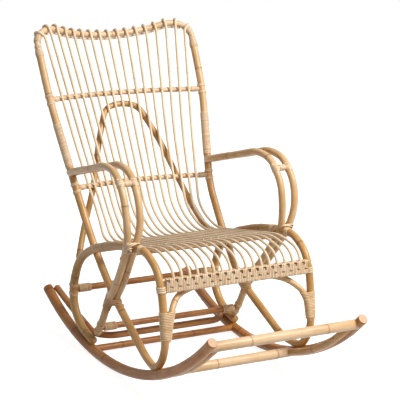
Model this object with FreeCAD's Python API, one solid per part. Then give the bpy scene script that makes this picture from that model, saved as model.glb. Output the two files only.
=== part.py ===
import FreeCAD, Part
import math
import os

V = FreeCAD.Vector

# The chair faces -Y, its left side is +X and the floor is Z = 0. Sizes are in millimetres.
# It is drawn upright and then leans back a little, to where it rests by its own weight.

# Fits
GAP = 0.3                  # air left between two poles that touch
NOTCH = 1.5                # how deep a pole is let into the pole that it sits on

# Pole and cane diameters
ROCKER_D = 32.0
HOOP_D = 27.0
LOOP_D = 24.5
ARM_D = 23.0
CREST_D = 20.0
CREST_ROD_D = 6.0
SLAT_D = 8.0
BACK_BAR_D = 16.0
ARCH_D = 20.0
SEAT_BAR_D = 18.0
BAND_ROD_D = 10.0
APRON_D = 19.0
FRONT_UPPER_D = 32.0
FRONT_LOWER_D = 31.0
BRACE_D = 24.0
REAR_U_D = 22.0
REAR_LOWER_D = 22.0
HOOP_STRETCHER_D = 21.0
LOW_STRETCHER_D = 20.0
BRIDGE_D = 18.0
CANE_D = 4.4               # wound cane
CANE_GAP = 0.7             # air between two turns of cane
POLE_STEPS = 4             # pairs of arcs in one turn round a pole
LASHING_STEPS = 8          # and round two poles

# Rockers: two equal arcs of one circle about the lowest point
ROCKER_HALF = 270.0        # half the distance between the two rockers
ROCKER_R = 770.0
ROCKER_LOW_Y = -18.0
ROCKER_FRONT_Y = -527.0
ROCKER_REAR_Y = 463.0

# Where the cross poles lie along the rockers
FRONT_UPPER_Y = -502.0
FRONT_LOWER_Y = -179.0
REAR_LOWER_Y = 169.0
REAR_U_Y = 168.0
REAR_U_Z = 74.0
HOOP_STRETCHER_Z = 212.0
LOW_STRETCHER_Z = 114.0

# Side frame heights and depths, in the plane of a rocker
SEAT_JOINT_Y = -97.0       # where the arm poles pass the seat rail
SEAT_JOINT_Z = 411.0
POST_FOOT = (249.0, 288.0, 512.0)     # start of the straight back post: x, y, z
POST_HEAD = (290.0, 394.0, 811.0)     # end of its straight run, at the upper back bar
POST_TOP = (293.0, 458.0, 965.0)      # end of the post, where the crest rail begins
SPLICE_Z = 672.0           # middle of the splice in the post
SPLICE_SLOPE = 60.0        # degrees between the splice's plane and the horizontal

# Back: bars across the posts, and the slats on them
UPPER_BAR_Z = 811.0
UPPER_BAR_BOW = 58.0
LOWER_BAR_Z = 536.0
LOWER_BAR_BOW = 42.0
SLATS_EACH_SIDE = 8
CREST_PITCH = 34.8         # slat spacing on the crest rail
UPPER_PITCH = 30.5         # and on the upper bar
LOWER_PITCH = 25.8         # and on the lower bar
SEAT_PITCH = 26.4          # and at the bend into the seat
BAND_PITCH = 28.9          # and in the front band
BACK_MID_Z = 665.0         # height of the slats' bend between the two bars
LUMBAR_Z = 440.0           # height where the slats turn towards the seat
CREST_LEAD = 14.0          # straight end of a slat in front of the crest rail
HOOK_END = 0.35            # radians above level where a slat ends behind the crest rail

# Seat
SEAT_REAR = (188.0, 377.0)            # lowest bend of the slats: y, z
SEAT_FRONT = (-152.0, 410.0)          # start of the roll over the front edge
ROLL_DROP = 28.0           # the roll's second corner, behind and above the band's slats
BAND_Z = 320.0             # middle of the front band
BAND_RODS = 33.0           # between the two rods of the band
BAND_Y = -245.0
BAND_WALL = 1.5            # cane woven round the band
BAND_CLEAR = 4.0           # from the weave to the legs
BAND_LEAD = 36.0           # straight end of a slat above the band's middle
BAND_TAIL = 20.0           # and below it
MID_BAR_Y = -67.0
REAR_BAR_Y = 110.0

# Arms
ARM_BRIDGE_Z = 606.0
ARM_SHORT = 12.0           # arm poles' rear ends, in front of the post's axis
ARM_JOINT_Z = 587.0        # middle of the arm poles at the post

# Windings
POST_WRAP_TURNS = 24
POST_WRAP_Z = 610.0        # lower end
CORNER_WRAP_TURNS = 7
CORNER_WRAP_DROP = 22.0    # below the post's top
BINDING_TURNS = 3          # at the ends of bars and stretchers
BINDING_CLEAR = 6.6        # from the pole that the bar meets
LASHING_TURNS = 16
LASHING_Z = 158.0          # lower end

# Routes of the bent poles: the corners of their centre lines
HOOP_CORNERS = (           # y and z in the plane of the rocker
    (30.0, 399.0), (165.0, 364.0), (250.0, 316.0), (289.0, 225.0), (286.0, 155.0), (240.0, 97.0),
)
HOOP_FOOT_Y = 158.0
LEG_CORNERS = (            # inset from the rocker's plane, y and z
    (0.0, -160.0, 410.0), (0.0, -228.0, 366.0), (0.0, -254.0, 290.0), (3.0, -267.0, 145.0),
    (4.0, -247.0, 92.0),
)
TURN_Y = -200.0            # where the side loop touches the rocker
TURN_CORNERS = (           # inset, y and height above the touching height
    (4.0, -210.0, -8.0), (17.0, -132.0, 9.0),
)
DIAGONAL_CORNERS = (       # outset from the loop's inner plane, y and z
    (-7.0, 87.0, 222.0), (-2.0, 165.0, 318.0), (2.0, 232.0, 418.0),
)
ARM_CORNERS = (            # y, z, x of the outer pole and x of the inner pole
    (230.0, 604.0, 284.0, 247.0), (110.0, 629.0, 296.0, 249.0), (20.0, 651.0, 302.0, 255.0),
    (-57.0, 634.0, 307.0, 259.0), (-108.0, 560.0, 311.0, 262.0), (-117.0, 480.0, 308.0, 261.0),
)
ARM_PASS = (0.0, 282.0)    # y and z half way from the seat rail to the crossing
CROSSING = (84.0, 207.0)   # where the arm poles cross the diagonal
ARM_SHIN = (118.0, 140.0)
ARM_FOOT = (168.0, 76.0)
CREST_RISE = 32.0          # from the post's top to the crest rail's first corner
CREST_CORNERS = (
    (268.0, 489.0, 1022.0), (222.0, 504.0, 1029.0), (150.0, 521.0, 1009.0), (72.0, 531.0, 999.0),
    (0.0, 533.0, 995.0),
)
CREST_ROD_START = 0.13     # share of the way from the first corner to the second
ARCH_FOOT = (262.0, 266.0, 316.0)
ARCH_KNEE = (216.0, 312.0, 402.0)
ARCH_CORNERS = (           # x, z and how far behind the slats
    (160.0, 528.0, 22.6), (113.0, 662.0, 8.3), (62.0, 766.0, 3.0),
)
ARCH_TOP_Z = 778.0
APRON_FOOT_Z = 152.0
APRON_KNEE_Z = 239.0
APRON_TUCK = 7.0           # apron's foot from the leg's axis
APRON_ANGLE = 23.0         # degrees in front of straight across
APRON_CORNERS = ((203.0, 284.0), (120.0, 307.0), (0.0, 313.0))      # x and z behind the band
BRACE_CORNERS = ((-290.0, 6.0), (-400.0, 8.0))       # y and depth below the rocker's centre line
BRACE_END = (8.0, 10.0)    # brace's end behind and below the upper stretcher
REAR_U_TIP = (14.0, 10.0)  # end in front of the rocker's tip, and its height over the centre line
REAR_U_CORNERS = ((315.0, 28.0), (205.0, 29.0))      # y and height over the rocker's centre line
REAR_U_BEND = 42.0


def vec(p):
    return V(*p)


def arc_between(start, corner, end):
    """Arc that leaves start and reaches end along the two equal runs that meet at corner."""
    run = (corner - start).Length
    middle = (start + end) * 0.5
    depth = (middle - corner).Length
    if depth < 1e-6:
        return Part.LineSegment(start, end).toShape()
    radius = run * (middle - start).Length / depth
    peak = corner + (middle - corner) * ((math.hypot(run, radius) - radius) / depth)
    return Part.Arc(start, peak, end).toShape()


def rounded_wire(points, share=0.45):
    """Straight runs joined by tangent arcs, each as large as its two runs allow."""
    points = [vec(p) for p in points]
    edges = []
    last = points[0]
    for before, corner, after in zip(points, points[1:], points[2:]):
        reach = share * min((corner - before).Length, (after - corner).Length)
        start = corner + (before - corner).normalize() * reach
        end = corner + (after - corner).normalize() * reach
        edges.append(Part.LineSegment(last, start).toShape())
        edges.append(arc_between(start, corner, end))
        last = end
    edges.append(Part.LineSegment(last, points[-1]).toShape())
    return Part.Wire(edges)


def sweep(wire, diameter):
    """Round pole along a wire."""
    first = wire.OrderedEdges[0]
    start = first.valueAt(first.FirstParameter)
    along = first.tangentAt(first.FirstParameter)
    ring = Part.Wire(Part.makeCircle(diameter / 2, start, along))
    solid = wire.makePipeShell([ring], True, False)
    length = sum(e.Length for e in wire.Edges)
    expected = math.pi * diameter ** 2 / 4 * length
    if abs(solid.Volume / expected - 1) > 0.01:
        print("swept volume differs from section times length", solid.Volume / expected)
    return solid


class Pole:
    """A round pole: its centre line, its diameter and the solid left after its ends are shaped."""

    def __init__(self, wire, diameter):
        self.wire = wire
        self.diameter = diameter
        self.solid = sweep(wire, diameter)

    def grown(self, by=GAP):
        """The pole with an air gap all round, used to shape what meets it."""
        return sweep(self.wire, self.diameter + 2 * by)

    def seat_on(self, *others):
        """Cope this pole to the poles that it meets and keep its main length."""
        shape = self.solid.cut([other.grown() for other in others])
        self.solid = max(shape.Solids, key=lambda s: s.Volume)
        return self

    def point_at(self, axis, value, last=False):
        """First or last point of the centre line whose coordinate axis (0, 1 or 2) has this value."""
        edges = self.wire.OrderedEdges
        for edge in reversed(edges) if last else edges:
            samples = edge.discretize(40)
            if last:
                samples.reverse()
            for a, b in zip(samples, samples[1:]):
                if (a[axis] - value) * (b[axis] - value) <= 0 and a[axis] != b[axis]:
                    return a + (b - a) * ((value - a[axis]) / (b[axis] - a[axis]))
        raise ValueError("the pole does not reach %s" % value)


def rocker_z(y):
    """Height of a rocker's centre line."""
    return ROCKER_D / 2 + ROCKER_R - math.sqrt(ROCKER_R ** 2 - (y - ROCKER_LOW_Y) ** 2)


def straight(a, b, diameter):
    return Pole(Part.Wire([Part.LineSegment(vec(a), vec(b)).toShape()]), diameter)


def bent(points, diameter):
    return Pole(rounded_wire(points), diameter)


def side_points(points, side):
    """The left side's points, or their mirror image for the right side."""
    return [(side * x, y, z) for x, y, z in points]


def mirrored(half):
    """The rest of a route whose left half ends in the middle of the chair."""
    return [V(-p[0], p[1], p[2]) for p in half[-2::-1]]


def touch(d1, d2):
    """Distance between the centre lines of two poles that lie side by side."""
    return (d1 + d2) / 2 + GAP


def rocker(side):
    x = side * ROCKER_HALF
    ys = (ROCKER_FRONT_Y, (ROCKER_FRONT_Y + ROCKER_REAR_Y) / 2, ROCKER_REAR_Y)
    arc = Part.Arc(*[V(x, y, rocker_z(y)) for y in ys]).toShape()
    return Pole(Part.Wire([arc]), ROCKER_D)


SIDES = {"left": 1, "right": -1}

# Lateral places of the side frame, from the rocker inwards and outwards
RAIL_X = ROCKER_HALF
LOOP_X = RAIL_X - touch(HOOP_D, LOOP_D)
ARM_OUT_X = RAIL_X + touch(HOOP_D, ARM_D)
CROSS_X = LOOP_X + DIAGONAL_CORNERS[0][0]
ARM_DOWN_X = CROSS_X + touch(LOOP_D, ARM_D)
FOOT_TOP = rocker_z(HOOP_FOOT_Y) + touch(ROCKER_D, HOOP_D) - NOTCH
LOOP_LOW = rocker_z(TURN_Y) + touch(ROCKER_D, LOOP_D) - NOTCH
SEAT_JOINT = (RAIL_X, SEAT_JOINT_Y, SEAT_JOINT_Z)


def hoop(side):
    """Seat rail that bends down at the rear and returns to a foot on the rocker."""
    route = [SEAT_JOINT]
    route += [(RAIL_X, y, z) for y, z in HOOP_CORNERS]
    route += [(RAIL_X, HOOP_FOOT_Y, FOOT_TOP)]
    return bent(side_points(route, side), HOOP_D)


def post_route():
    """Last part of the side loop: the rising diagonal and the back post."""
    return [(LOOP_X + out, y, z) for out, y, z in DIAGONAL_CORNERS] + [POST_FOOT, POST_HEAD, POST_TOP]


def side_loop(side):
    """Front leg, turn on the rocker, rising diagonal and back post, bent from one long pole."""
    route = [SEAT_JOINT]
    route += [(RAIL_X - inset, y, z) for inset, y, z in LEG_CORNERS]
    route += [(RAIL_X - inset, y, LOOP_LOW + rise) for inset, y, rise in TURN_CORNERS]
    return bent(side_points(route + post_route(), side), LOOP_D)


def diagonal_and_post(side):
    """The rear half of the side loop alone, to shape the arm poles that meet it."""
    inset, y, rise = TURN_CORNERS[-1]
    return bent(side_points([(RAIL_X - inset, y, LOOP_LOW + rise)] + post_route(), side), LOOP_D)


def arm_start(post, outset):
    """Rear end of an arm pole, against the front of the post."""
    at_post = post.point_at(2, ARM_JOINT_Z)
    return (abs(at_post.x) + outset, at_post.y - ARM_SHORT, at_post.z)


def arm_outer(side, post):
    """Outer arm pole: over the front, past the seat rail, down to a foot on the hoop."""
    route = [arm_start(post, touch(ARM_D, ARM_D) / 2)]
    route += [(x_out, y, z) for y, z, x_out, x_in in ARM_CORNERS]
    route += [(ARM_OUT_X, SEAT_JOINT_Y, SEAT_JOINT_Z)]
    route += [((ARM_OUT_X + ARM_DOWN_X) / 2, *ARM_PASS)]
    route += [(ARM_DOWN_X, *place) for place in (CROSSING, ARM_SHIN, ARM_FOOT)]
    return bent(side_points(route, side), ARM_D)


def inner_route():
    """Inner arm pole between its two ends."""
    route = [(x_in, y, z) for y, z, x_out, x_in in ARM_CORNERS]
    return route + [SEAT_JOINT, ((RAIL_X + CROSS_X) / 2, *ARM_PASS)]


def arm_at_seat(side):
    """The inner arm pole near the seat joint alone, to shape the rail and the leg that meet it."""
    return bent(side_points(inner_route()[-3:], side), ARM_D)


def arm_inner(side, post):
    """Inner arm pole: over the front, in line with the seat rail, down to the diagonal."""
    route = [arm_start(post, -touch(ARM_D, ARM_D) / 2)] + inner_route() + [(CROSS_X, *CROSSING)]
    return bent(side_points(route, side), ARM_D)


def arm_bridge(outer, inner):
    """Short pole between the two arm poles, where the arm turns down."""
    ends = [pole.point_at(2, ARM_BRIDGE_Z, last=True) for pole in (outer, inner)]
    return straight(ends[0], ends[1], BRIDGE_D).seat_on(outer, inner)


def crest():
    """Crest rail: rises from the posts, humps near each end and dips in the middle."""
    top = vec(POST_TOP)
    rise = (top - vec(POST_HEAD)).normalize()
    half = [top + rise * GAP, top + rise * CREST_RISE] + [vec(p) for p in CREST_CORNERS]
    return bent(half + mirrored(half), CREST_D)


def crest_rod():
    """Thin rod that follows the underside of the crest rail between the humps."""
    corners = [vec(p) for p in CREST_CORNERS]
    steepest = max((b - a).Length / math.hypot(b.x - a.x, b.y - a.y) for a, b in zip(corners, corners[1:]))
    drop = V(0, 0, touch(CREST_D, CREST_ROD_D) * steepest)
    half = [corners[0] + (corners[1] - corners[0]) * CREST_ROD_START - drop]
    half += [corner - drop for corner in corners[1:]]
    return bent(half + mirrored(half), CREST_ROD_D)


def bowed_bar(end, bow, z, diameter):
    """Bar from post to post, bowed back in the middle."""
    arc = Part.Arc(V(-end.x, end.y, z), V(0, end.y + bow, z), V(end.x, end.y, z)).toShape()
    return Pole(Part.Wire([arc]), diameter)


def front_of_bar(bar, x):
    """Centre of a slat that lies against the front of a bowed bar at this x."""
    edge = bar.wire.Edges[0]
    point = bar.point_at(0, x)
    inwards = (edge.Curve.Center - point).normalize()
    return point + inwards * touch(bar.diameter, SLAT_D)


def seat_line_z(y):
    """Height of the slats' centre lines over the flat of the seat."""
    rise = (SEAT_FRONT[1] - SEAT_REAR[1]) / (SEAT_FRONT[0] - SEAT_REAR[0])
    return SEAT_REAR[1] + rise * (y - SEAT_REAR[0])


def slat(index, crest_rail, upper_bar, lower_bar):
    """One slat: hooked over the crest rail, down the back, along the seat and into the band."""
    crest_point = crest_rail.point_at(0, index * CREST_PITCH)
    beside = crest_rail.point_at(0, index * CREST_PITCH * 0.98 - 1.0)
    along = (crest_point - beside).normalize()
    if along.x < 0:
        along = along * -1
    at_upper = front_of_bar(upper_bar, index * UPPER_PITCH)
    rise = crest_point - at_upper
    up = (rise - along * along.dot(rise)).normalize()
    front = along.cross(up)
    reach = touch(CREST_D, SLAT_D)
    hook_front = crest_point + front * reach
    hook_top = crest_point + up * reach
    hook_back = crest_point - front * reach * math.cos(HOOK_END) + up * reach * math.sin(HOOK_END)
    lead = hook_front - up * CREST_LEAD
    at_lower = front_of_bar(lower_bar, index * LOWER_PITCH)
    down = at_upper - lead
    back_mid = at_upper + down * ((BACK_MID_Z - at_upper.z) / down.z)
    down = at_lower - back_mid
    lumbar = at_lower + down * ((LUMBAR_Z - at_lower.z) / down.z)
    seat_x = index * SEAT_PITCH
    band_x = index * BAND_PITCH
    band_y = BAND_Y - touch(BAND_ROD_D, SLAT_D)
    turn_z = BAND_Z + BAND_LEAD
    points = [
        hook_front,
        lead,
        back_mid,
        lumbar,
        V(seat_x, *SEAT_REAR),
        V((seat_x + 2 * band_x) / 3, *SEAT_FRONT),
        V(band_x, band_y + ROLL_DROP, turn_z + ROLL_DROP),
        V(band_x, band_y, turn_z),
        V(band_x, band_y, BAND_Z - BAND_TAIL),
    ]
    hook = Part.Arc(hook_back, hook_top, hook_front).toShape()
    return Pole(Part.Wire([hook] + rounded_wire(points).OrderedEdges), SLAT_D)


def back_arch(upper_bar, lower_bar):
    """Tall arch behind the slats, from the hoops up to just below the upper bar."""
    def behind(x, z, extra):
        low = front_of_bar(lower_bar, x)
        high = front_of_bar(upper_bar, x)
        lean = (high.y - low.y) / (high.z - low.z)
        return (x, low.y + lean * (z - low.z) + touch(SLAT_D, ARCH_D) + extra, z)

    half = [ARCH_FOOT, ARCH_KNEE]
    half += [behind(*corner) for corner in ARCH_CORNERS]
    half += [behind(0.0, ARCH_TOP_Z, 0.0)]
    return bent(half + mirrored(half), ARCH_D)


def seat_bar(y, half):
    """Straight bar under the slats."""
    return cross_pole(half, y, seat_line_z(y) - touch(SLAT_D, SEAT_BAR_D), SEAT_BAR_D)


def band_rod(level, leg):
    x = abs(leg.point_at(2, level).x)
    return cross_pole(x, BAND_Y, level, BAND_ROD_D)


def band_weave(slats):
    """Cane woven round the two rods and the slats' ends: a flat sleeve, open for each slat."""
    back = BAND_Y + BAND_ROD_D / 2 + GAP
    front = BAND_Y - BAND_ROD_D / 2 - SLAT_D - 2 * GAP
    half_height = BAND_RODS / 2 + BAND_ROD_D / 2 + GAP
    half_length = RAIL_X - LOOP_D / 2 - BAND_CLEAR

    def block(wall, length):
        depth = back - front + 2 * wall
        height = 2 * (half_height + wall)
        box = Part.makeBox(2 * length, depth, height, V(-length, front - wall, BAND_Z - height / 2))
        long_edges = [e for e in box.Edges if abs(e.tangentAt(0).x) > 0.9]
        return box.makeFillet(BAND_ROD_D / 2 + wall, long_edges)

    sleeve = block(BAND_WALL, half_length).cut(block(0.0, half_length + 1.0))
    sleeve = sleeve.cut([s.grown(2 * GAP) for s in slats])
    return max(sleeve.Solids, key=lambda s: s.Volume)


def apron(leg):
    """Arch under the seat front: each foot is tucked against a leg, the top passes behind the band."""
    behind = BAND_Y + BAND_ROD_D / 2 + BAND_WALL + 2 * GAP + APRON_D / 2
    angle = math.radians(APRON_ANGLE)
    inwards = V(-math.cos(angle), -math.sin(angle), 0)
    half = [
        leg.point_at(2, APRON_FOOT_Z) + inwards * APRON_TUCK,
        leg.point_at(2, APRON_KNEE_Z) + inwards * touch(LOOP_D, APRON_D),
    ]
    half += [V(x, behind, z) for x, z in APRON_CORNERS]
    return bent(half + mirrored(half), APRON_D)


def brace(side):
    """Curved pole inside the front of a rocker, from the lower stretcher to under the upper one."""
    x = ROCKER_HALF - touch(ROCKER_D, BRACE_D)
    back, below = BRACE_END
    route = [(x, FRONT_LOWER_Y, rocker_z(FRONT_LOWER_Y))]
    route += [(x, y, rocker_z(y) - depth) for y, depth in BRACE_CORNERS]
    route += [(x, FRONT_UPPER_Y + back, rocker_z(FRONT_UPPER_Y) - below)]
    return bent(side_points(route, side), BRACE_D)


def rear_u():
    """Rear stretcher whose two ends bend back along the inside of the rockers to their tips."""
    x = ROCKER_HALF - touch(ROCKER_D, REAR_U_D)
    short, rise = REAR_U_TIP
    tip_y = ROCKER_REAR_Y - short
    square = rise * math.sqrt(1 - ((tip_y - ROCKER_LOW_Y) / ROCKER_R) ** 2)
    tip_x = ROCKER_HALF - math.sqrt(touch(ROCKER_D, REAR_U_D) ** 2 - square ** 2)
    half = [(tip_x, tip_y, rocker_z(tip_y) + rise)]
    half += [(x, y, rocker_z(y) + over) for y, over in REAR_U_CORNERS]
    half += [(x - REAR_U_BEND, REAR_U_Y, REAR_U_Z)]
    return bent(half + side_points(half[::-1], -1), REAR_U_D)


def cross_pole(half, y, z, diameter):
    """Straight pole across the chair, from side to side."""
    return straight((-half, y, z), (half, y, z), diameter)


def biarc(p0, t0, p1, t1):
    """Two arcs that leave p0 along t0 and reach p1 along t1."""
    chord = p1 - p0
    turn = t0.dot(t1) - 1
    if turn > -1e-9:
        return [Part.LineSegment(p0, p1).toShape()]
    along = chord.dot(t0 + t1)
    reach = (2 * along - math.sqrt(4 * along ** 2 - 8 * turn * chord.dot(chord))) / (4 * turn)
    q0 = p0 + t0 * reach
    q1 = p1 - t1 * reach
    joint = (q0 + q1) * 0.5
    return [arc_between(p0, q0, joint), arc_between(joint, q1, p1)]


def winding(place, turns, steps, cane):
    """One unbroken cane along place(turn), a closed outline that climbs, with straight ends."""
    step = 1.0 / steps
    nudge = 1e-4

    def heading(t):
        return (place(t + nudge) - place(t - nudge)).normalize()

    count = turns * steps
    edges = []
    for i in range(count):
        a = i * step
        b = a + step
        edges += biarc(place(a), heading(a), place(b), heading(b))
    first = place(0.0)
    last = place(float(turns))
    edges.insert(0, Part.LineSegment(first - heading(0.0) * cane, first).toShape())
    edges.append(Part.LineSegment(last, last + heading(float(turns)) * cane).toShape())
    return sweep(Part.Wire(edges), cane)


def least_gap(place, turns, cane, samples=20):
    """Least air between two turns, measured on points."""
    points = [place(i / samples) for i in range(turns * samples + 1)]
    least = min(
        (points[i] - points[j]).Length
        for i in range(len(points))
        for j in range(i + samples // 2, min(i + 3 * samples // 2, len(points)))
    )
    return least - cane


def helix(start, along, radius, cane):
    """Place on a cane wound round a straight pole."""
    along = vec(along).normalize()
    across = along.cross(V(0, 0, 1) if abs(along.z) < 0.8 else V(1, 0, 0)).normalize()
    third = along.cross(across)
    reach = radius + GAP + cane / 2
    pitch = cane + CANE_GAP

    def place(turn):
        angle = 2 * math.pi * turn
        spoke = across * math.cos(angle) + third * math.sin(angle)
        return start + along * (pitch * turn) + spoke * reach

    return place


def pole_winding(start, along, diameter, turns, label):
    place = helix(start, along, diameter / 2, CANE_D)
    print(label, "least gap between turns %.2f mm" % least_gap(place, turns, CANE_D))
    return winding(place, turns, POLE_STEPS, CANE_D)


def lashing(leg, second, label):
    """Cane wound round the front leg and the apron's foot beside it."""
    reach_leg = leg.diameter / 2 + 2 * GAP + CANE_D / 2
    reach_second = second.diameter / 2 + 2 * GAP + CANE_D / 2
    pitch = CANE_D + CANE_GAP

    def place(turn):
        z = LASHING_Z + pitch * turn
        a = leg.point_at(2, z)
        b = second.point_at(2, z)
        apart = V(b.x - a.x, b.y - a.y, 0)
        facing = math.atan2(apart.y, apart.x)
        lean = math.acos((reach_leg - reach_second) / apart.Length)
        angle = 2 * math.pi * (turn % 1.0)
        wide = 2 * math.pi - 2 * lean
        arc_a = wide * reach_leg
        arc_b = 2 * lean * reach_second
        side = apart.Length * math.sin(lean)
        total = arc_a + arc_b + 2 * side
        travel = angle / (2 * math.pi) * total
        if travel < arc_a:
            turned = facing + lean + travel / reach_leg
            return V(a.x + reach_leg * math.cos(turned), a.y + reach_leg * math.sin(turned), z)
        travel -= arc_a
        low = facing - lean
        if travel < side:
            start = V(a.x + reach_leg * math.cos(low), a.y + reach_leg * math.sin(low), z)
            end = V(b.x + reach_second * math.cos(low), b.y + reach_second * math.sin(low), z)
            return start + (end - start) * (travel / side)
        travel -= side
        if travel < arc_b:
            turned = low + travel / reach_second
            return V(b.x + reach_second * math.cos(turned), b.y + reach_second * math.sin(turned), z)
        travel -= arc_b
        high = facing + lean
        start = V(b.x + reach_second * math.cos(high), b.y + reach_second * math.sin(high), z)
        end = V(a.x + reach_leg * math.cos(high), a.y + reach_leg * math.sin(high), z)
        return start + (end - start) * (travel / side)

    print(label, "least gap between turns %.2f mm" % least_gap(place, LASHING_TURNS, CANE_D))
    return winding(place, LASHING_TURNS, LASHING_STEPS, CANE_D)


def end_winding(pole, x, label):
    """Cane wound round a cross pole, starting at this x and going inwards."""
    start = pole.point_at(0, x)
    along = pole.point_at(0, 0.9 * x) - start
    return pole_winding(start, along, pole.diameter, BINDING_TURNS, label)


def split_post(loop, side):
    """Part the side loop from the upper post at a slanting splice under the long winding."""
    at = loop.point_at(2, SPLICE_Z)
    size = POST_TOP[2]
    pieces = []
    for low in (GAP / 2, -size - GAP / 2):
        half_space = Part.makeBox(2 * size, 2 * size, size, V(-size, -size, low))
        half_space.rotate(V(0, 0, 0), V(0, 1, 0), side * SPLICE_SLOPE)
        half_space.translate(at)
        pieces.append(max(loop.solid.common(half_space).Solids, key=lambda s: s.Volume))
    return pieces


def side_frames(nodes):
    """Rockers, hoops, side loops with their posts, and arms. Returns the poles by kind and side."""
    poles = {kind: {} for kind in ("rocker", "hoop", "loop", "outer", "inner")}
    for name, side in SIDES.items():
        rear = diagonal_and_post(side)
        rocker_pole = rocker(side)
        loop = side_loop(side)
        inner = arm_inner(side, loop)
        outer = arm_outer(side, loop)
        rail = hoop(side)
        inner.seat_on(rear)
        at_seat = arm_at_seat(side)
        loop.seat_on(rocker_pole, at_seat)
        rail.seat_on(rocker_pole, at_seat)
        outer.seat_on(rear, rail)
        post, lower = split_post(loop, side)
        nodes["rocker_" + name] = rocker_pole.solid
        nodes["rear_hoop_" + name] = rail.solid
        nodes["side_loop_" + name] = lower
        nodes["upper_post_" + name] = post
        nodes["arm_outer_" + name] = outer.solid
        nodes["arm_inner_" + name] = inner.solid
        nodes["arm_bridge_" + name] = arm_bridge(outer, inner).solid
        for kind, pole in zip(poles, (rocker_pole, rail, loop, outer, inner)):
            poles[kind][name] = pole
    return poles


def back_and_seat(nodes, poles):
    """Crest rail, back bars, slats, back arch, seat bars, front band and apron."""
    hoops = poles["hoop"].values()
    loops = poles["loop"].values()
    leg = poles["loop"]["left"]
    crest_rail = crest()
    nodes["crest_rail"] = crest_rail.solid
    nodes["crest_rod"] = crest_rod().solid
    bars = []
    for name, z, bow in (("upper", UPPER_BAR_Z, UPPER_BAR_BOW), ("lower", LOWER_BAR_Z, LOWER_BAR_BOW)):
        bars.append(bowed_bar(leg.point_at(2, z, last=True), bow, z, BACK_BAR_D).seat_on(*loops))
        nodes[name + "_back_bar"] = bars[-1].solid
    slats = [slat(i, crest_rail, *bars) for i in range(-SLATS_EACH_SIDE, SLATS_EACH_SIDE + 1)]
    for number, one in enumerate(slats, 1):
        nodes["slat_%02d" % number] = one.solid
    nodes["back_arch"] = back_arch(*bars).seat_on(*hoops, *bars).solid
    arms = list(poles["inner"].values()) + list(poles["outer"].values())
    nodes["mid_seat_bar"] = seat_bar(MID_BAR_Y, RAIL_X).seat_on(*hoops, *arms).solid
    nodes["rear_seat_bar"] = seat_bar(REAR_BAR_Y, RAIL_X).seat_on(*hoops, *loops).solid
    for name, offset in (("band_top_rod", BAND_RODS / 2), ("band_bottom_rod", -BAND_RODS / 2)):
        nodes[name] = band_rod(BAND_Z + offset, leg).seat_on(*loops).solid
    nodes["front_band_weave"] = band_weave(slats)
    apron_arch = apron(leg)
    nodes["apron_arch"] = apron_arch.seat_on(*loops).solid
    return bars, apron_arch


def stretchers(nodes, poles):
    """Poles between the two side frames. Returns the two whose ends are bound with cane."""
    rockers = poles["rocker"].values()
    hoops = poles["hoop"].values()
    outers = poles["outer"].values()
    loops = poles["loop"].values()
    front_upper = cross_pole(ROCKER_HALF, FRONT_UPPER_Y, rocker_z(FRONT_UPPER_Y), FRONT_UPPER_D)
    front_lower = cross_pole(ROCKER_HALF, FRONT_LOWER_Y, rocker_z(FRONT_LOWER_Y), FRONT_LOWER_D)
    rear_lower = cross_pole(ROCKER_HALF, REAR_LOWER_Y, rocker_z(REAR_LOWER_Y), REAR_LOWER_D)
    nodes["front_upper_stretcher"] = front_upper.seat_on(*rockers).solid
    nodes["front_lower_stretcher"] = front_lower.seat_on(*rockers, *loops).solid
    for name, side in SIDES.items():
        nodes["front_brace_" + name] = brace(side).seat_on(front_upper, front_lower, *loops).solid
    nodes["rear_u_stretcher"] = rear_u().seat_on(*hoops).solid
    nodes["rear_lower_stretcher"] = rear_lower.seat_on(*rockers, *hoops).solid
    hoop_y = poles["hoop"]["left"].point_at(2, HOOP_STRETCHER_Z).y
    hoop_stretcher = cross_pole(RAIL_X, hoop_y, HOOP_STRETCHER_Z, HOOP_STRETCHER_D)
    nodes["hoop_stretcher"] = hoop_stretcher.seat_on(*hoops).solid
    low = poles["outer"]["left"].point_at(2, LOW_STRETCHER_Z, last=True)
    low_stretcher = cross_pole(low.x, low.y, low.z, LOW_STRETCHER_D)
    nodes["low_stretcher"] = low_stretcher.seat_on(*outers).solid
    return hoop_stretcher, low_stretcher


def windings(nodes, poles, bars, apron_arch, bound):
    """Cane wound round the posts, the leg lashings and the ends of bars and stretchers."""
    leg_lashing = lashing(poles["loop"]["left"], apron_arch, "leg lashing")
    nodes["leg_lashing_left"] = leg_lashing
    nodes["leg_lashing_right"] = leg_lashing.mirror(V(0, 0, 0), V(1, 0, 0))
    corners = []
    bar_ends = []
    stretcher_ends = []
    for name, side in SIDES.items():
        foot, head, top = [vec(p) for p in side_points((POST_FOOT, POST_HEAD, POST_TOP), side)]
        start = poles["loop"][name].point_at(2, POST_WRAP_Z, last=True)
        label = "post winding " + name
        nodes["post_winding_" + name] = pole_winding(start, head - foot, LOOP_D, POST_WRAP_TURNS, label)
        rise = (top - head).normalize()
        start = top - rise * CORNER_WRAP_DROP
        corners.append(pole_winding(start, rise, LOOP_D, CORNER_WRAP_TURNS, "crest corner " + name))
        for bar, z in zip(bars, (UPPER_BAR_Z, LOWER_BAR_Z)):
            post_x = abs(poles["loop"][name].point_at(2, z, last=True).x)
            x = post_x - LOOP_D / 2 - BINDING_CLEAR
            bar_ends.append(end_winding(bar, side * x, "back bar " + name))
        for pole, butt in zip(bound, (poles["hoop"][name], poles["outer"][name])):
            butt_x = abs(pole.wire.Edges[0].Vertexes[0].X)
            x = butt_x - butt.diameter / 2 - BINDING_CLEAR
            stretcher_ends.append(end_winding(pole, side * x, "stretcher " + name))
    nodes["crest_corner_windings"] = Part.makeCompound(corners)
    nodes["back_bar_windings"] = Part.makeCompound(bar_ends)
    nodes["stretcher_windings"] = Part.makeCompound(stretcher_ends)


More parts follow.
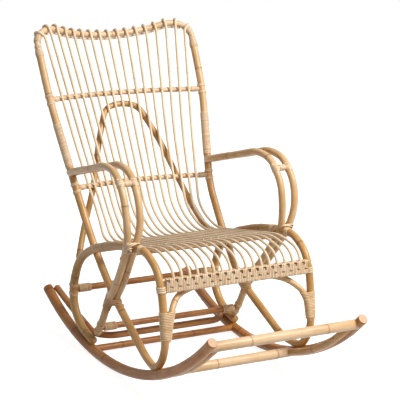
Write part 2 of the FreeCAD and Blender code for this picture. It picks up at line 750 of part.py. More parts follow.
def stand_in_balance(nodes):
    """Roll the chair on its rockers until its weight is over the line where they touch the floor."""
    solids = [solid for node in nodes.values() for solid in node.Solids]
    volume = sum(solid.Volume for solid in solids)
    middle_y = sum(solid.CenterOfMass.y * solid.Volume for solid in solids) / volume
    middle_z = sum(solid.CenterOfMass.z * solid.Volume for solid in solids) / volume
    hub = V(0, ROCKER_LOW_Y, ROCKER_D / 2 + ROCKER_R)
    lean = math.degrees(math.atan2(middle_y - hub.y, hub.z - middle_z))
    print("leans back from the drawn pose by %.4f degrees" % lean)
    for node in nodes.values():
        node.rotate(hub, V(1, 0, 0), -lean)


def main():
    os.makedirs("parts", exist_ok=True)
    nodes = {}
    poles = side_frames(nodes)
    bars, apron_arch = back_and_seat(nodes, poles)
    bound = stretchers(nodes, poles)
    windings(nodes, poles, bars, apron_arch, bound)
    stand_in_balance(nodes)
    box = Part.makeCompound(list(nodes.values())).optimalBoundingBox(False)
    to_middle = V(0, -(box.YMin + box.YMax) / 2, 0)
    print("moved to the middle of its box by", tuple(to_middle))
    for name, node in nodes.items():
        node.translate(to_middle)
        print(name, node.ShapeType, len(node.Solids), node.isValid(), round(node.Volume))
        node.exportStep("parts/" + name + ".step")
    return nodes


if __name__ == "__main__":
    main()
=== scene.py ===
# %% [markdown]
# # A rattan rocking chair
# The chair is a frame of bent rattan poles, with thinner peeled rods for its seat and back, all bound with split
# cane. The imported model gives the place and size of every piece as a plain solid. This lesson models each piece
# again on the same centre line, because grain, leaf rings and windings have to follow the bends, and the loose
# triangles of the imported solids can't carry them.

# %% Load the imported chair
import itertools
import math
import random

import bmesh
import bpy
from mathutils import Euler, Matrix, Vector
from mathutils.geometry import convex_hull_2d


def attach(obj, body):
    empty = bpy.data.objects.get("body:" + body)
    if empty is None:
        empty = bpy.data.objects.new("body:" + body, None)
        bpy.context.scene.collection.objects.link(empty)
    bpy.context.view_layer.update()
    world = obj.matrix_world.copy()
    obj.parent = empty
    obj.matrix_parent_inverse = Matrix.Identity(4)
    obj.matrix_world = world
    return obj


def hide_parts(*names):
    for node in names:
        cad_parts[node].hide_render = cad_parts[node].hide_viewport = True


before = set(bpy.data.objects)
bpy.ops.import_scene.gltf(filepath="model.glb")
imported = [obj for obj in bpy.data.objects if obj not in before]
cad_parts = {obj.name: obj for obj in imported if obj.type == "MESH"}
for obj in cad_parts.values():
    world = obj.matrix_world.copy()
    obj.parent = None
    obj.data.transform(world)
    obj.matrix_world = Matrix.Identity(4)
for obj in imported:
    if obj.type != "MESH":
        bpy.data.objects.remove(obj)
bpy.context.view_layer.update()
print("packed nodes:", len(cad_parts))

# %% [markdown]
# ## Camera
# The photograph was taken from in front of the chair, to the sitter's right, a little above the seat, with a long
# lens. A constraint could aim the camera at the chair, but its place and angles were fitted to the photograph, so
# they are set directly. Sizes are in millimetres, with the chair drawn as upright as the photograph shows it. The
# packed chair leans back to where it balances on its rockers, so `STAND` rolls the drawing, and the camera with
# it, about the middle of the rockers' circle.

# %% Set the camera
MILLIMETRE = 0.001
LEAN = math.radians(8.8882)                          # from the drawn pose to the balance on the rockers
HUB = Vector((0, -18.0, 786.0)) * MILLIMETRE         # middle of the rockers' circle
TO_MIDDLE = Vector((0, 22.8963, 0)) * MILLIMETRE     # centres the leaning chair's box on the origin
STAND = (Matrix.Translation(HUB + TO_MIDDLE) @ Matrix.Rotation(-LEAN, 4, "X")
         @ Matrix.Translation(-HUB))
CAMERA_SPOT = (-3150.64, -4932.17, 1544.22)
CAMERA_TURN = 32.788                                 # degrees round to the right of straight ahead
CAMERA_DIP = 9.948                                   # degrees below level
LENS, SENSOR = 171.0, 36.0
SIGHT = 50.0                                         # metres that the camera sees


def spot(x, y, z):
    return Vector((x, y, z)) * MILLIMETRE


camera = bpy.data.objects.new("camera", bpy.data.cameras.new("camera"))
camera.data.lens = LENS
camera.data.sensor_width = SENSOR
camera.data.clip_end = SIGHT
upright = Euler((math.radians(90 - CAMERA_DIP), 0, -math.radians(CAMERA_TURN))).to_matrix().to_4x4()
camera.matrix_world = STAND @ Matrix.Translation(spot(*CAMERA_SPOT)) @ upright
bpy.context.scene.collection.objects.link(camera)
bpy.context.scene.camera = camera
bpy.context.scene.view_settings.view_transform = "Standard"
print("camera at", tuple(round(v, 3) for v in camera.location))

# %% [markdown]
# ## Light
# The photograph has soft studio light, mostly from above. One large soft box, high in front and a little to the
# right, does most of the work, and a weak one on the left opens the shadows. A sun or a point lamp would draw a
# hard edge on every rod, so both are area lamps.

# %% Hang the lamps
LAMPS = {
    "key_softbox": dict(place=(1.5, -2.5, 4.1), size=1.8, power=264.0),
    "fill_softbox": dict(place=(-3.6, -2.6, 1.6), size=3.0, power=12.0),
}
AIM = Vector((0, 0, 0.5))


def hang_lamp(name, place, size, power):
    data = bpy.data.lights.new(name, "AREA")
    data.size = size
    data.energy = power
    light = bpy.data.objects.new(name, data)
    light.location = place
    light.rotation_euler = (AIM - Vector(place)).to_track_quat("-Z", "Y").to_euler()
    bpy.context.scene.collection.objects.link(light)


for name, values in LAMPS.items():
    hang_lamp(name, **values)
print("soft boxes:", len(LAMPS))

# %% [markdown]
# ## White surroundings
# The background of the photograph is plain white. More light would get it there, but would also burn out the pale
# cane. So the rays are sorted: the camera's, and those that a piece mirrors or lets through, meet white, and the
# others meet a dim sky that only fills the shadows. The floor is grey paper that glows for the same rays, so it
# looks white and still keeps the chair's shadow.

# %% Whiten the world
SKY = 0.2                  # strength for all other rays
WHITE = (1, 1, 1, 1)


def white_rays(tree):
    """1 for the rays that meet white, and 0 for the others."""
    rays = tree.nodes.new("ShaderNodeLightPath").outputs
    chosen = rays["Is Camera Ray"]
    for kind in ("Is Glossy Ray", "Is Transmission Ray"):
        either = tree.nodes.new("ShaderNodeMath")
        either.operation = "MAXIMUM"
        tree.links.new(chosen, either.inputs[0])
        tree.links.new(rays[kind], either.inputs[1])
        chosen = either.outputs["Value"]
    return chosen


world = bpy.data.worlds.new("studio")
bpy.context.scene.world = world
world.use_nodes = True
tree = world.node_tree
sky = tree.nodes["Background"]
sky.inputs["Color"].default_value = WHITE
strength = tree.nodes.new("ShaderNodeMapRange")
strength.inputs["To Min"].default_value = SKY
strength.inputs["To Max"].default_value = 1.0
tree.links.new(white_rays(tree), strength.inputs["Value"])
tree.links.new(strength.outputs["Result"], sky.inputs["Strength"])
print("sky on the chair:", SKY)

# %% Lay the floor
FLOOR_HALF = 4.0           # metres from its middle to an edge
FLOOR_GREY = (0.5, 0.5, 0.5, 1)
FLOOR_GLOW = 0.88          # what the camera sees of the paper besides its lit grey

sheet = bmesh.new()
bmesh.ops.create_grid(sheet, x_segments=1, y_segments=1, size=FLOOR_HALF)
floor_mesh = bpy.data.meshes.new("floor")
sheet.to_mesh(floor_mesh)
sheet.free()
floor = bpy.data.objects.new("floor", floor_mesh)
bpy.context.scene.collection.objects.link(floor)
paper = bpy.data.materials.new("white_paper")
paper.use_nodes = True
tree = paper.node_tree
shader = tree.nodes["Principled BSDF"]
shader.inputs["Base Color"].default_value = FLOOR_GREY
shader.inputs["Roughness"].default_value = 1.0
shader.inputs["Emission Color"].default_value = WHITE
glow = tree.nodes.new("ShaderNodeMath")
glow.operation = "MULTIPLY"
glow.inputs[1].default_value = FLOOR_GLOW
tree.links.new(white_rays(tree), glow.inputs[0])
tree.links.new(glow.outputs["Value"], shader.inputs["Emission Strength"])
floor_mesh.materials.append(paper)
print("floor:", 2 * FLOOR_HALF, "m square")

# %% [markdown]
# ## Rattan skin
# Rattan is a climbing palm: a solid cane with a smooth satin skin, fine streaks along its length, paler and darker
# blotches, and a ring every hand's breadth or two, where a leaf grew. A picture of rattan could be wrapped round
# the poles, but it would show a seam and repeat itself, so noise draws the skin. The streaks have to bend with the
# pole: every point carries an attribute, `straight`, with its place on the straight pole, and another, `ring`,
# with its distance to the nearest leaf ring.

# %% Helpers for shader nodes


def node(tree, kind, **values):
    """A node with its properties, or else its inputs, set by name."""
    made = tree.nodes.new(kind)
    for name, value in values.items():
        if hasattr(made, name):
            setattr(made, name, value)
        else:
            made.inputs[name.replace("_", " ")].default_value = value
    return made


def read(tree, name):
    return node(tree, "ShaderNodeAttribute", attribute_name=name)


def scaled(tree, source, factors):
    size = node(tree, "ShaderNodeVectorMath", operation="MULTIPLY")
    tree.links.new(source, size.inputs[0])
    size.inputs[1].default_value = factors
    return size.outputs["Vector"]


def noise(tree, source, scale, detail, roughness=0.55):
    made = node(tree, "ShaderNodeTexNoise", Scale=scale, Detail=detail, Roughness=roughness)
    tree.links.new(source, made.inputs["Vector"])
    return made.outputs["Fac"]


print("helpers:", [f.__name__ for f in (node, read, scaled, noise)])

# %% Helpers that mix values and colours


def ramp(tree, source, low, high, to_low=0.0, to_high=1.0):
    """A value turned smoothly from one range into another."""
    made = node(tree, "ShaderNodeMapRange", interpolation_type="SMOOTHSTEP",
                From_Min=low, From_Max=high, To_Min=to_low, To_Max=to_high)
    tree.links.new(source, made.inputs["Value"])
    return made.outputs["Result"]


def blend(tree, amount, first, second):
    made = node(tree, "ShaderNodeMix", data_type="RGBA")
    for place, value in (("Factor_Float", amount), ("A_Color", first), ("B_Color", second)):
        target = next(s for s in made.inputs if s.identifier == place)
        if isinstance(value, tuple):
            target.default_value = value
        else:
            tree.links.new(value, target)
    return next(s for s in made.outputs if s.identifier == "Result_Color")


def math_node(tree, operation, first, second):
    made = node(tree, "ShaderNodeMath", operation=operation)
    for target, value in zip(made.inputs, (first, second)):
        if isinstance(value, float):
            target.default_value = value
        else:
            tree.links.new(value, target)
    return made.outputs["Value"]


print("mixers:", [f.__name__ for f in (ramp, blend, math_node)])

# %% Build the rattan skin
GRAIN = {                  # noise: squeeze along the pole, scale, detail and roughness
    "fine": (0.035, 900.0, 4.0, 0.55), "broad": (0.06, 190.0, 3.0, 0.55),
    "cloud": (0.5, 22.0, 4.0, 0.6), "speck": (0.35, 420.0, 2.0, 0.55),
}
BLOTCHES = (0.4, 0.66)     # ramps: noise from and to, strength from and to
STREAKS, FINE_STREAKS = (0.48, 0.74, 0.0, 0.6), (0.52, 0.75, 0.0, 0.45)
SPECKS = (0.71, 0.77, 0.0, 0.55)
RING_LINE, RING_HALO = (0.0006, 0.0018, 1.0, 0.0), (0.0015, 0.009, 0.4, 0.0)     # metres from a leaf ring
RING_WAVER = 0.0008        # metres
BROAD_ROUGH, CLOUD_ROUGH = (0.3, 0.8, 0.30, 0.44), (0.3, 0.8, 0.0, 0.08)
GRAIN_HEIGHT, RING_HEIGHT = 0.35, -0.8


def rattan_group():
    tree = bpy.data.node_groups.new("rattan_skin", "ShaderNodeTree")
    sockets = [(name, "Color", "INPUT") for name in ("Skin", "Streak", "Blotch", "Ring")]
    sockets += [("Ring strength", "Float", "INPUT"), ("Color", "Color", "OUTPUT"),
                ("Roughness", "Float", "OUTPUT"), ("Height", "Float", "OUTPUT")]
    for name, kind, way in sockets:
        tree.interface.new_socket(name=name, in_out=way, socket_type="NodeSocket" + kind)
    given = tree.nodes.new("NodeGroupInput").outputs
    result = tree.nodes.new("NodeGroupOutput").inputs
    straight = read(tree, "straight").outputs["Vector"]
    grain = {name: noise(tree, scaled(tree, straight, (1, 1, squeeze)), *values)
             for name, (squeeze, *values) in GRAIN.items()}
    colour = blend(tree, ramp(tree, grain["cloud"], *BLOTCHES), given["Skin"], given["Blotch"])
    colour = blend(tree, ramp(tree, grain["broad"], *STREAKS), colour, given["Streak"])
    colour = blend(tree, ramp(tree, grain["fine"], *FINE_STREAKS), colour, given["Streak"])
    colour = blend(tree, ramp(tree, grain["speck"], *SPECKS), colour, given["Ring"])
    waver = math_node(tree, "MULTIPLY", grain["broad"], RING_WAVER)
    distance = math_node(tree, "ADD", read(tree, "ring").outputs["Fac"], waver)
    line = ramp(tree, distance, *RING_LINE)
    for mask, paint in ((ramp(tree, distance, *RING_HALO), "Streak"), (line, "Ring")):
        amount = math_node(tree, "MULTIPLY", mask, given["Ring strength"])
        colour = blend(tree, amount, colour, given[paint])
    rough = math_node(tree, "ADD", ramp(tree, grain["broad"], *BROAD_ROUGH),
                      ramp(tree, grain["cloud"], *CLOUD_ROUGH))
    height = math_node(tree, "ADD", math_node(tree, "MULTIPLY", grain["fine"], GRAIN_HEIGHT),
                       math_node(tree, "MULTIPLY", line, RING_HEIGHT))
    for name, value in (("Color", colour), ("Roughness", rough), ("Height", height)):
        tree.links.new(value, result[name])
    return tree


skin_group = rattan_group()
print("group", skin_group.name, "with", len(skin_group.nodes), "nodes")

# %% [markdown]
# ## Finishes
# The upper frame is honey coloured, the base and the rear poles are browner, the peeled rods pale and the split
# cane cream. Each finish could be built from scratch, but they differ only in colour and gloss, so all of them use
# the group. The skin is satin, so it mirrors a little less than the shader does by itself. Where a pole is sawn
# across, its end shows pale pith with open pores, which noise on Object coordinates draws well enough.

# %% Mix the finishes
SATIN = 0.35               # 0.5 is the shader's own value
COAT_ROUGHNESS = 0.3
GRAIN_DEPTH = 0.001        # metres


def tone(red, green, blue):
    """A colour as a screen shows it, turned into the light that it stands for."""
    shares = (c / 255 for c in (red, green, blue))
    return tuple(s / 12.92 if s < 0.04045 else ((s + 0.055) / 1.055) ** 2.4 for s in shares) + (1,)


def rattan(name, skin, streak, blotch, ring, ring_strength=1.0, coat=0.12, bump=0.12):
    finish = bpy.data.materials.new(name)
    finish.use_nodes = True
    tree = finish.node_tree
    shader = tree.nodes["Principled BSDF"]
    group = tree.nodes.new("ShaderNodeGroup")
    group.node_tree = skin_group
    for key, value in (("Skin", skin), ("Streak", streak), ("Blotch", blotch), ("Ring", ring)):
        group.inputs[key].default_value = tone(*value)
    group.inputs["Ring strength"].default_value = ring_strength
    relief = node(tree, "ShaderNodeBump", Strength=bump, Distance=GRAIN_DEPTH)
    tree.links.new(group.outputs["Color"], shader.inputs["Base Color"])
    tree.links.new(group.outputs["Roughness"], shader.inputs["Roughness"])
    tree.links.new(group.outputs["Height"], relief.inputs["Height"])
    tree.links.new(relief.outputs["Normal"], shader.inputs["Normal"])
    shader.inputs["Specular IOR Level"].default_value = SATIN
    shader.inputs["Coat Weight"].default_value = coat
    shader.inputs["Coat Roughness"].default_value = COAT_ROUGHNESS
    return finish


STRIP = dict(ring_strength=0.0, coat=0.15, bump=0.1)     # split cane has no leaf rings
HONEY = rattan("honey_rattan", (222, 184, 136), (188, 144, 94), (204, 162, 110), (104, 66, 34))
TAN = rattan("tan_rattan", (206, 157, 98), (164, 111, 56), (180, 137, 72), (92, 54, 26))
BROWN = rattan("brown_rattan", (187, 126, 64), (138, 81, 32), (162, 102, 45), (72, 38, 16), coat=0.06)
PALE = rattan("pale_rattan", (228, 194, 154), (200, 156, 108), (214, 174, 128), (134, 86, 48))
OLIVE = rattan("olive_rattan", (198, 154, 91), (154, 107, 50), (176, 130, 68), (80, 48, 24))
PEELED = rattan("peeled_rod", (238, 216, 184), (212, 180, 138), (228, 200, 162), (150, 110, 72),
                ring_strength=0.3, coat=0.05, bump=0.08)
CANE = rattan("split_cane", (240, 216, 182), (204, 164, 120), (216, 178, 138), (150, 106, 66), **STRIP)
LASH = rattan("lashing_cane", (230, 198, 154), (190, 148, 100), (208, 168, 120), (140, 96, 58), **STRIP)
TAN_CANE = rattan("tan_cane", (206, 168, 122), (170, 126, 80), (190, 148, 102), (120, 78, 44), **STRIP)
print("finishes:", [m.name for m in bpy.data.materials])

# %% Mix the sawn ends
PITH, PITH_SHADE, PORE = tone(224, 190, 158), tone(206, 166, 132), tone(150, 104, 72)
PORE_NOISE, PITH_NOISE = (900.0, 2.0), (90.0, 2.0)       # scale and detail
PORE_RAMP, PORE_STRENGTH = (0.55, 0.68), 0.45
PORE_BUMP, PORE_DEPTH = 0.3, 0.0005
PITH_ROUGHNESS = 0.75

SAWN = bpy.data.materials.new("sawn_end")
SAWN.use_nodes = True
tree = SAWN.node_tree
shader = tree.nodes["Principled BSDF"]
place = tree.nodes.new("ShaderNodeTexCoord").outputs["Object"]
pores = ramp(tree, noise(tree, place, *PORE_NOISE), *PORE_RAMP)
colour = blend(tree, noise(tree, place, *PITH_NOISE), PITH, PITH_SHADE)
colour = blend(tree, math_node(tree, "MULTIPLY", pores, PORE_STRENGTH), colour, PORE)
tree.links.new(colour, shader.inputs["Base Color"])
relief = node(tree, "ShaderNodeBump", Strength=PORE_BUMP, Distance=PORE_DEPTH)
tree.links.new(pores, relief.inputs["Height"])
tree.links.new(relief.outputs["Normal"], shader.inputs["Normal"])
shader.inputs["Roughness"].default_value = PITH_ROUGHNESS
print("finish", SAWN.name)

# %% [markdown]
# ## Bending a pole
# A maker heats a straight pole and bends it round a former, so its centre line is made of straight runs joined by
# smooth arcs. A curve object with handles could draw such a line, but the joints and bindings need places on it,
# so the points are worked out here: `bend` gives them for a list of corners, with each arc as large as its two
# runs allow.

# %% Bend a centre line
STEP = 7.0                 # between two points of an arc
SHARE = 0.45               # of a run that an arc may take
NEARLY_STRAIGHT = 0.003    # radians


def bend(corners):
    """Points along straight runs joined by tangent arcs."""
    corners = [Vector(c) for c in corners]
    line = [corners[0]]
    for before, corner, after in zip(corners, corners[1:], corners[2:]):
        reach = SHARE * min((corner - before).length, (after - corner).length)
        start = corner + (before - corner).normalized() * reach
        end = corner + (after - corner).normalized() * reach
        turn = (corner - start).angle(end - corner)
        line.append(start)
        if turn > NEARLY_STRAIGHT:
            radius = reach / math.tan(turn / 2)
            inwards = ((start + end) / 2 - corner).normalized()
            centre = corner + inwards * math.hypot(reach, radius)
            count = max(2, round(radius * turn / STEP))
            for i in range(1, count):
                a, b = math.sin((1 - i / count) * turn), math.sin(i / count * turn)
                line.append(centre + ((start - centre) * a + (end - centre) * b) / math.sin(turn))
        line.append(end)
    line.append(corners[-1])
    return line


quarter = bend([(0, 0, 0), (100, 0, 0), (100, 100, 0)])
print("a quarter bend has", len(quarter), "points")

# %% Find places on a line
TINY = 1e-6


def lengths(line):
    """Distance of each point from the start of its line."""
    run = [0.0]
    for a, b in zip(line, line[1:]):
        run.append(run[-1] + (b - a).length)
    return run


def along_line(line, run, length):
    """Point at a distance from the start of a line."""
    for i in range(1, len(run)):
        if run[i] >= length or i == len(run) - 1:
            return line[i - 1].lerp(line[i], (length - run[i - 1]) / max(run[i] - run[i - 1], TINY))


def point_at(line, axis, value, last=False):
    """First or last point of a line whose coordinate axis has this value."""
    pairs = list(zip(line, line[1:]))
    for a, b in reversed(pairs) if last else pairs:
        if (a[axis] - value) * (b[axis] - value) <= 0 and a[axis] != b[axis]:
            return a.lerp(b, (value - a[axis]) / (b[axis] - a[axis]))
    raise ValueError("the line does not reach %s" % value)


def flip(points, side):
    """Points of the left side, or their mirror image for the right side."""
    return [Vector((side * p[0], p[1], p[2])) for p in points]


def both_halves(half):
    """A whole line from its left half, which ends in the middle."""
    return list(half) + flip(half[-2::-1], -1)


print("the quarter bend is", round(lengths(quarter)[-1]), "mm long")

# %% [markdown]
# ## From line to pole
# A pole is round and nearly even, swells a little at its leaf rings and has an eased rim at its sawn ends. A curve
# with a round bevel would give most of that at once, but not the straight place of each point, which the grain
# needs. So a ring is drawn at one end and extruded from point to point. Each length is made in a small bmesh of
# its own and then added to its piece, because the operators slow down in a large one.

# %% Set frames along a line


def square_frames(points, outward=None):
    """A frame at each point, turned as little as possible from one to the next."""
    frames = []
    side = None
    for i, p in enumerate(points):
        ahead = (points[min(i + 1, len(points) - 1)] - points[max(i - 1, 0)]).normalized()
        if outward:
            side = outward[i]
        elif side is None:
            side = ahead.orthogonal()
        side = (side - ahead * side.dot(ahead)).normalized()
        frames.append((p, side, ahead.cross(side), ahead))
    return frames


def ring_matrix(place, wide, high):
    """Lays a ring of radius 1 across a frame in millimetres, with two half widths."""
    p, side, other, ahead = place
    wide, high, p = wide * MILLIMETRE, high * MILLIMETRE, spot(*p)
    return Matrix((
        (side.x * wide, other.x * high, ahead.x, p.x), (side.y * wide, other.y * high, ahead.y, p.y),
        (side.z * wide, other.z * high, ahead.z, p.z), (0, 0, 0, 1),
    ))


print("frames on the quarter bend:", len(square_frames(quarter)))

# %% Extrude a ring


def new_bmesh():
    bm = bmesh.new()
    bm.verts.layers.float_vector.new("straight")
    bm.verts.layers.float.new("ring")
    return bm


def extrude_ring(bm, matrices, runs, rings, sides, shift, radius, closed=False, end_finish=1):
    """Draw a ring at the first matrix and extrude it to each of the others."""
    straight = bm.verts.layers.float_vector["straight"]
    ring = bm.verts.layers.float["ring"]
    verts = bmesh.ops.create_circle(bm, segments=sides, radius=1.0)["verts"]
    edges = first_edges = list({e for v in verts for e in v.link_edges})
    for v in verts:
        v[straight] = Vector((v.co.x * radius, v.co.y * radius, 0))
    before = Matrix.Identity(4)
    for number, (matrix, run, near) in enumerate(zip(matrices, runs, rings)):
        if number:
            made = bmesh.ops.extrude_edge_only(bm, edges=edges)["geom"]
            verts = [g for g in made if isinstance(g, bmesh.types.BMVert)]
            new = set(verts)
            edges = [g for g in made if isinstance(g, bmesh.types.BMEdge) and set(g.verts) <= new]
        bmesh.ops.transform(bm, matrix=matrix @ before.inverted(), verts=verts)
        before = matrix
        for v in verts:
            v[straight] = Vector((v[straight].x, v[straight].y, run + shift))
            v[ring] = near
    if closed:
        bmesh.ops.bridge_loops(bm, edges=first_edges + edges)
        return
    for rim in (first_edges, edges):
        for cap in bmesh.ops.contextual_create(bm, geom=rim)["faces"]:
            cap.material_index = end_finish


sample = new_bmesh()
print("every point carries", list(sample.verts.layers.float_vector.keys()) + list(sample.verts.layers.float.keys()))
sample.free()

# %% Finish a piece


def add_to(bm, small):
    """Put a finished length into the piece that it belongs to."""
    mesh = bpy.data.meshes.new("length")
    small.to_mesh(mesh)
    small.free()
    bm.from_mesh(mesh)
    bpy.data.meshes.remove(mesh)


def finish_piece(name, bm, finish, nodes=()):
    """Stand a drawn bmesh on the floor as a piece of the chair."""
    bmesh.ops.transform(bm, matrix=STAND, verts=bm.verts)
    bmesh.ops.recalc_face_normals(bm, faces=bm.faces)
    for face in bm.faces:
        face.smooth = face.material_index == 0
    mesh = bpy.data.meshes.new(name)
    bm.to_mesh(mesh)
    bm.free()
    mesh.materials.append(finish)
    mesh.materials.append(SAWN)
    piece = bpy.data.objects.new(name, mesh)
    bpy.context.scene.collection.objects.link(piece)
    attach(piece, "root")
    for replaced in nodes:
        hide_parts(replaced)


# %% Place the leaf rings
RING_RUN = (190.0, 340.0)  # between two leaf rings
FIRST_RING, LAST_RING = 40.0, 15.0       # least distance of a leaf ring from the pole's start and end
RING_REACH = 9.0           # swelling on each side of a leaf ring
RING_STOPS = (-RING_REACH, -4.0, -1.6, 0.0, 1.6, 4.0, RING_REACH)
RIM = 1.4                  # eased edge of a sawn end
LEAST_STEP = 0.3           # between two extruded rings


def leaf_rings(total, chance):
    """Places of the leaf rings along a pole."""
    rings = []
    at = chance.uniform(FIRST_RING, RING_RUN[1])
    while at < total - LAST_RING:
        rings.append(at)
        at += chance.uniform(*RING_RUN)
    return rings


def extrusion_stops(run, rings):
    """Distances at which a pole gets a ring of points: at its bends, its leaf rings and its rims."""
    total = run[-1]
    stops = {0.0, RIM / 3, RIM, total - RIM, total - RIM / 3, total}
    inner = run + [at + d for at in rings for d in RING_STOPS]
    stops |= {s for s in inner if RIM * 2 < s < total - RIM * 2}
    spaced = [0.0]
    for stop in sorted(stops)[1:]:
        if stop - spaced[-1] > LEAST_STEP:
            spaced.append(stop)
    return spaced


print("a plain run of 100 mm is extruded in", len(extrusion_stops([0.0, 100.0], [])) - 1, "steps")

# %% Make a pole
POLE_SIDES = 20
RING_SWELL = 0.035
RIM_EASE = 0.08            # share of the radius that a sawn edge loses
NO_RING = 1000.0           # distance to the nearest leaf ring where there is none
GRAIN_SHIFTS = 50          # metres along the noise, so that no two poles have the same grain
serial = itertools.count(1)


def pole(name, line, diameter, finish, rings=None, sides=POLE_SIDES, sawn=True):
    """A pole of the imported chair, modelled again under the same name."""
    chance = random.Random(next(serial))
    run = lengths(line)
    if rings is None:
        rings = leaf_rings(run[-1], chance)
    stops = extrusion_stops(run, rings)
    matrices, nearest = [], []
    for place, stop in zip(square_frames([along_line(line, run, s) for s in stops]), stops):
        near = min((abs(stop - at) for at in rings), default=NO_RING)
        swell = 1 + RING_SWELL * max(0.0, 1 - near / RING_REACH) ** 2
        end = min(stop, run[-1] - stop)
        ease = 1.0 if end >= RIM else 1 - RIM_EASE * (1 - end / RIM) ** 2
        radius = diameter / 2 * swell * ease
        matrices.append(ring_matrix(place, radius, radius))
        nearest.append(near * MILLIMETRE)
    small = new_bmesh()
    extrude_ring(small, matrices, [s * MILLIMETRE for s in stops], nearest, sides,
                 chance.uniform(0, GRAIN_SHIFTS), diameter / 2 * MILLIMETRE, end_finish=int(sawn))
    bm = new_bmesh()
    add_to(bm, small)
    finish_piece(name, bm, finish, [name])


print("poles have", POLE_SIDES, "sides")

# %% [markdown]
# ## Rockers
# Each rocker is the thickest pole of the chair, bent to one even arc, and everything else stands on the two of
# them. A circle could be spun through that arc in one step, but the extruded pole also gets its leaf rings and its
# straight grain.

# %% Bend the rockers
SIDES = {"left": 1, "right": -1}
ROCKER_D = 32.0
ROCKER_HALF, ROCKER_R, ROCKER_LOW_Y = 270.0, 770.0, -18.0
ROCKER_ENDS = (-527.0, 463.0)
ROCKER_STEPS = 90


def rocker_z(y):
    """Height of a rocker's centre line."""
    return ROCKER_D / 2 + ROCKER_R - math.sqrt(ROCKER_R ** 2 - (y - ROCKER_LOW_Y) ** 2)


def rocker_line(side):
    first, last = (math.asin((y - ROCKER_LOW_Y) / ROCKER_R) for y in ROCKER_ENDS)
    turns = [first + (last - first) * i / ROCKER_STEPS for i in range(ROCKER_STEPS + 1)]
    return [Vector((side * ROCKER_HALF, ROCKER_LOW_Y + ROCKER_R * math.sin(a),
                    ROCKER_D / 2 + ROCKER_R * (1 - math.cos(a)))) for a in turns]


lines = {}
for name, side in SIDES.items():
    lines["rocker_" + name] = rocker_line(side)
    pole("rocker_" + name, lines["rocker_" + name], ROCKER_D, BROWN)
print("rocker length", round(lengths(lines["rocker_left"])[-1]), "mm")

# %% [markdown]
# ## Side frames
# A hoop serves as seat rail and rear leg. One long pole makes the front leg, the turn on the rocker, the rising
# diagonal and the lower back post, and an upper post is spliced to it. Two arm poles come from the post, bend over
# the front and run down past the seat rail: the inner one ends on the diagonal, the outer one on the hoop's foot.
# One side could be modelled and copied with a Mirror modifier, but then both sides would have the same leaf rings,
# so only the centre lines are mirrored.

# %% Draw the hoop and the side loop
HOOP_D, LOOP_D = 27.0, 24.5
AIR = 0.3                  # between two poles that touch
NOTCH = 1.5                # where a pole stands on a rocker
SEAT_JOINT = (270.0, -97.0, 411.0)
HOOP_CORNERS = ((30, 399), (165, 364), (250, 316), (289, 225), (286, 155), (240, 97))
HOOP_FOOT_Y, LOOP_LOW_Y = 158.0, -200.0
LEG_CORNERS = ((0, -160, 410), (0, -228, 366), (0, -254, 290), (3, -267, 145), (4, -247, 92))
TURN_CORNERS = ((4, -210, -8), (17, -132, 9))
DIAGONAL_CORNERS = ((-7, 87, 222), (-2, 165, 318), (2, 232, 418))
POST_FOOT, POST_HEAD, POST_TOP = (249, 288, 512), (290, 394, 811), (293, 458, 965)


def touch(first, second):
    """Distance between the centre lines of two poles that lie side by side."""
    return (first + second) / 2 + AIR


RAIL_X = ROCKER_HALF
LOOP_X = RAIL_X - touch(HOOP_D, LOOP_D)
FOOT_TOP = rocker_z(HOOP_FOOT_Y) + touch(ROCKER_D, HOOP_D) - NOTCH
LOOP_LOW = rocker_z(LOOP_LOW_Y) + touch(ROCKER_D, LOOP_D) - NOTCH

route = [(RAIL_X, y, z) for y, z in HOOP_CORNERS] + [(RAIL_X, HOOP_FOOT_Y, FOOT_TOP)]
hoop_line = bend([SEAT_JOINT] + route)
route = [(RAIL_X - inset, y, z) for inset, y, z in LEG_CORNERS]
route += [(RAIL_X - inset, y, LOOP_LOW + rise) for inset, y, rise in TURN_CORNERS]
route += [(LOOP_X + out, y, z) for out, y, z in DIAGONAL_CORNERS]
loop_line = bend([SEAT_JOINT] + route + [POST_FOOT, POST_HEAD, POST_TOP])
print("side loop length", round(lengths(loop_line)[-1]), "mm")

# %% Draw the arm poles
ARM_D = 23.0
ARM_CORNERS = ((230, 604, 284, 247), (110, 629, 296, 249), (20, 651, 302, 255),     # y, z, outer x, inner x
               (-57, 634, 307, 259), (-108, 560, 311, 262), (-117, 480, 308, 261))
ARM_PASS, CROSSING, ARM_SHIN, ARM_FOOT = (0, 282), (84, 207), (118, 140), (168, 76)
ARM_JOINT_Z, ARM_SHORT = 587.0, 12.0
ARM_OUT_X = RAIL_X + touch(HOOP_D, ARM_D)
CROSS_X = LOOP_X + DIAGONAL_CORNERS[0][0]
ARM_DOWN_X = CROSS_X + touch(LOOP_D, ARM_D)


def arm_line(outer):
    beside = touch(ARM_D, ARM_D) / 2
    joint = point_at(loop_line, 2, ARM_JOINT_Z, last=True)
    route = [(joint.x + (beside if outer else -beside), joint.y - ARM_SHORT, joint.z)]
    route += [(c[2] if outer else c[3], c[0], c[1]) for c in ARM_CORNERS]
    if outer:
        route += [(ARM_OUT_X, *SEAT_JOINT[1:]), ((ARM_OUT_X + ARM_DOWN_X) / 2, *ARM_PASS)]
        return bend(route + [(ARM_DOWN_X, *place) for place in (CROSSING, ARM_SHIN, ARM_FOOT)])
    return bend(route + [SEAT_JOINT, ((RAIL_X + CROSS_X) / 2, *ARM_PASS), (CROSS_X, *CROSSING)])


side_lines = {"hoop_": hoop_line, "loop_": loop_line, "outer_": arm_line(True), "inner_": arm_line(False)}
print("outer arm pole length", round(lengths(side_lines["outer_"])[-1]), "mm")

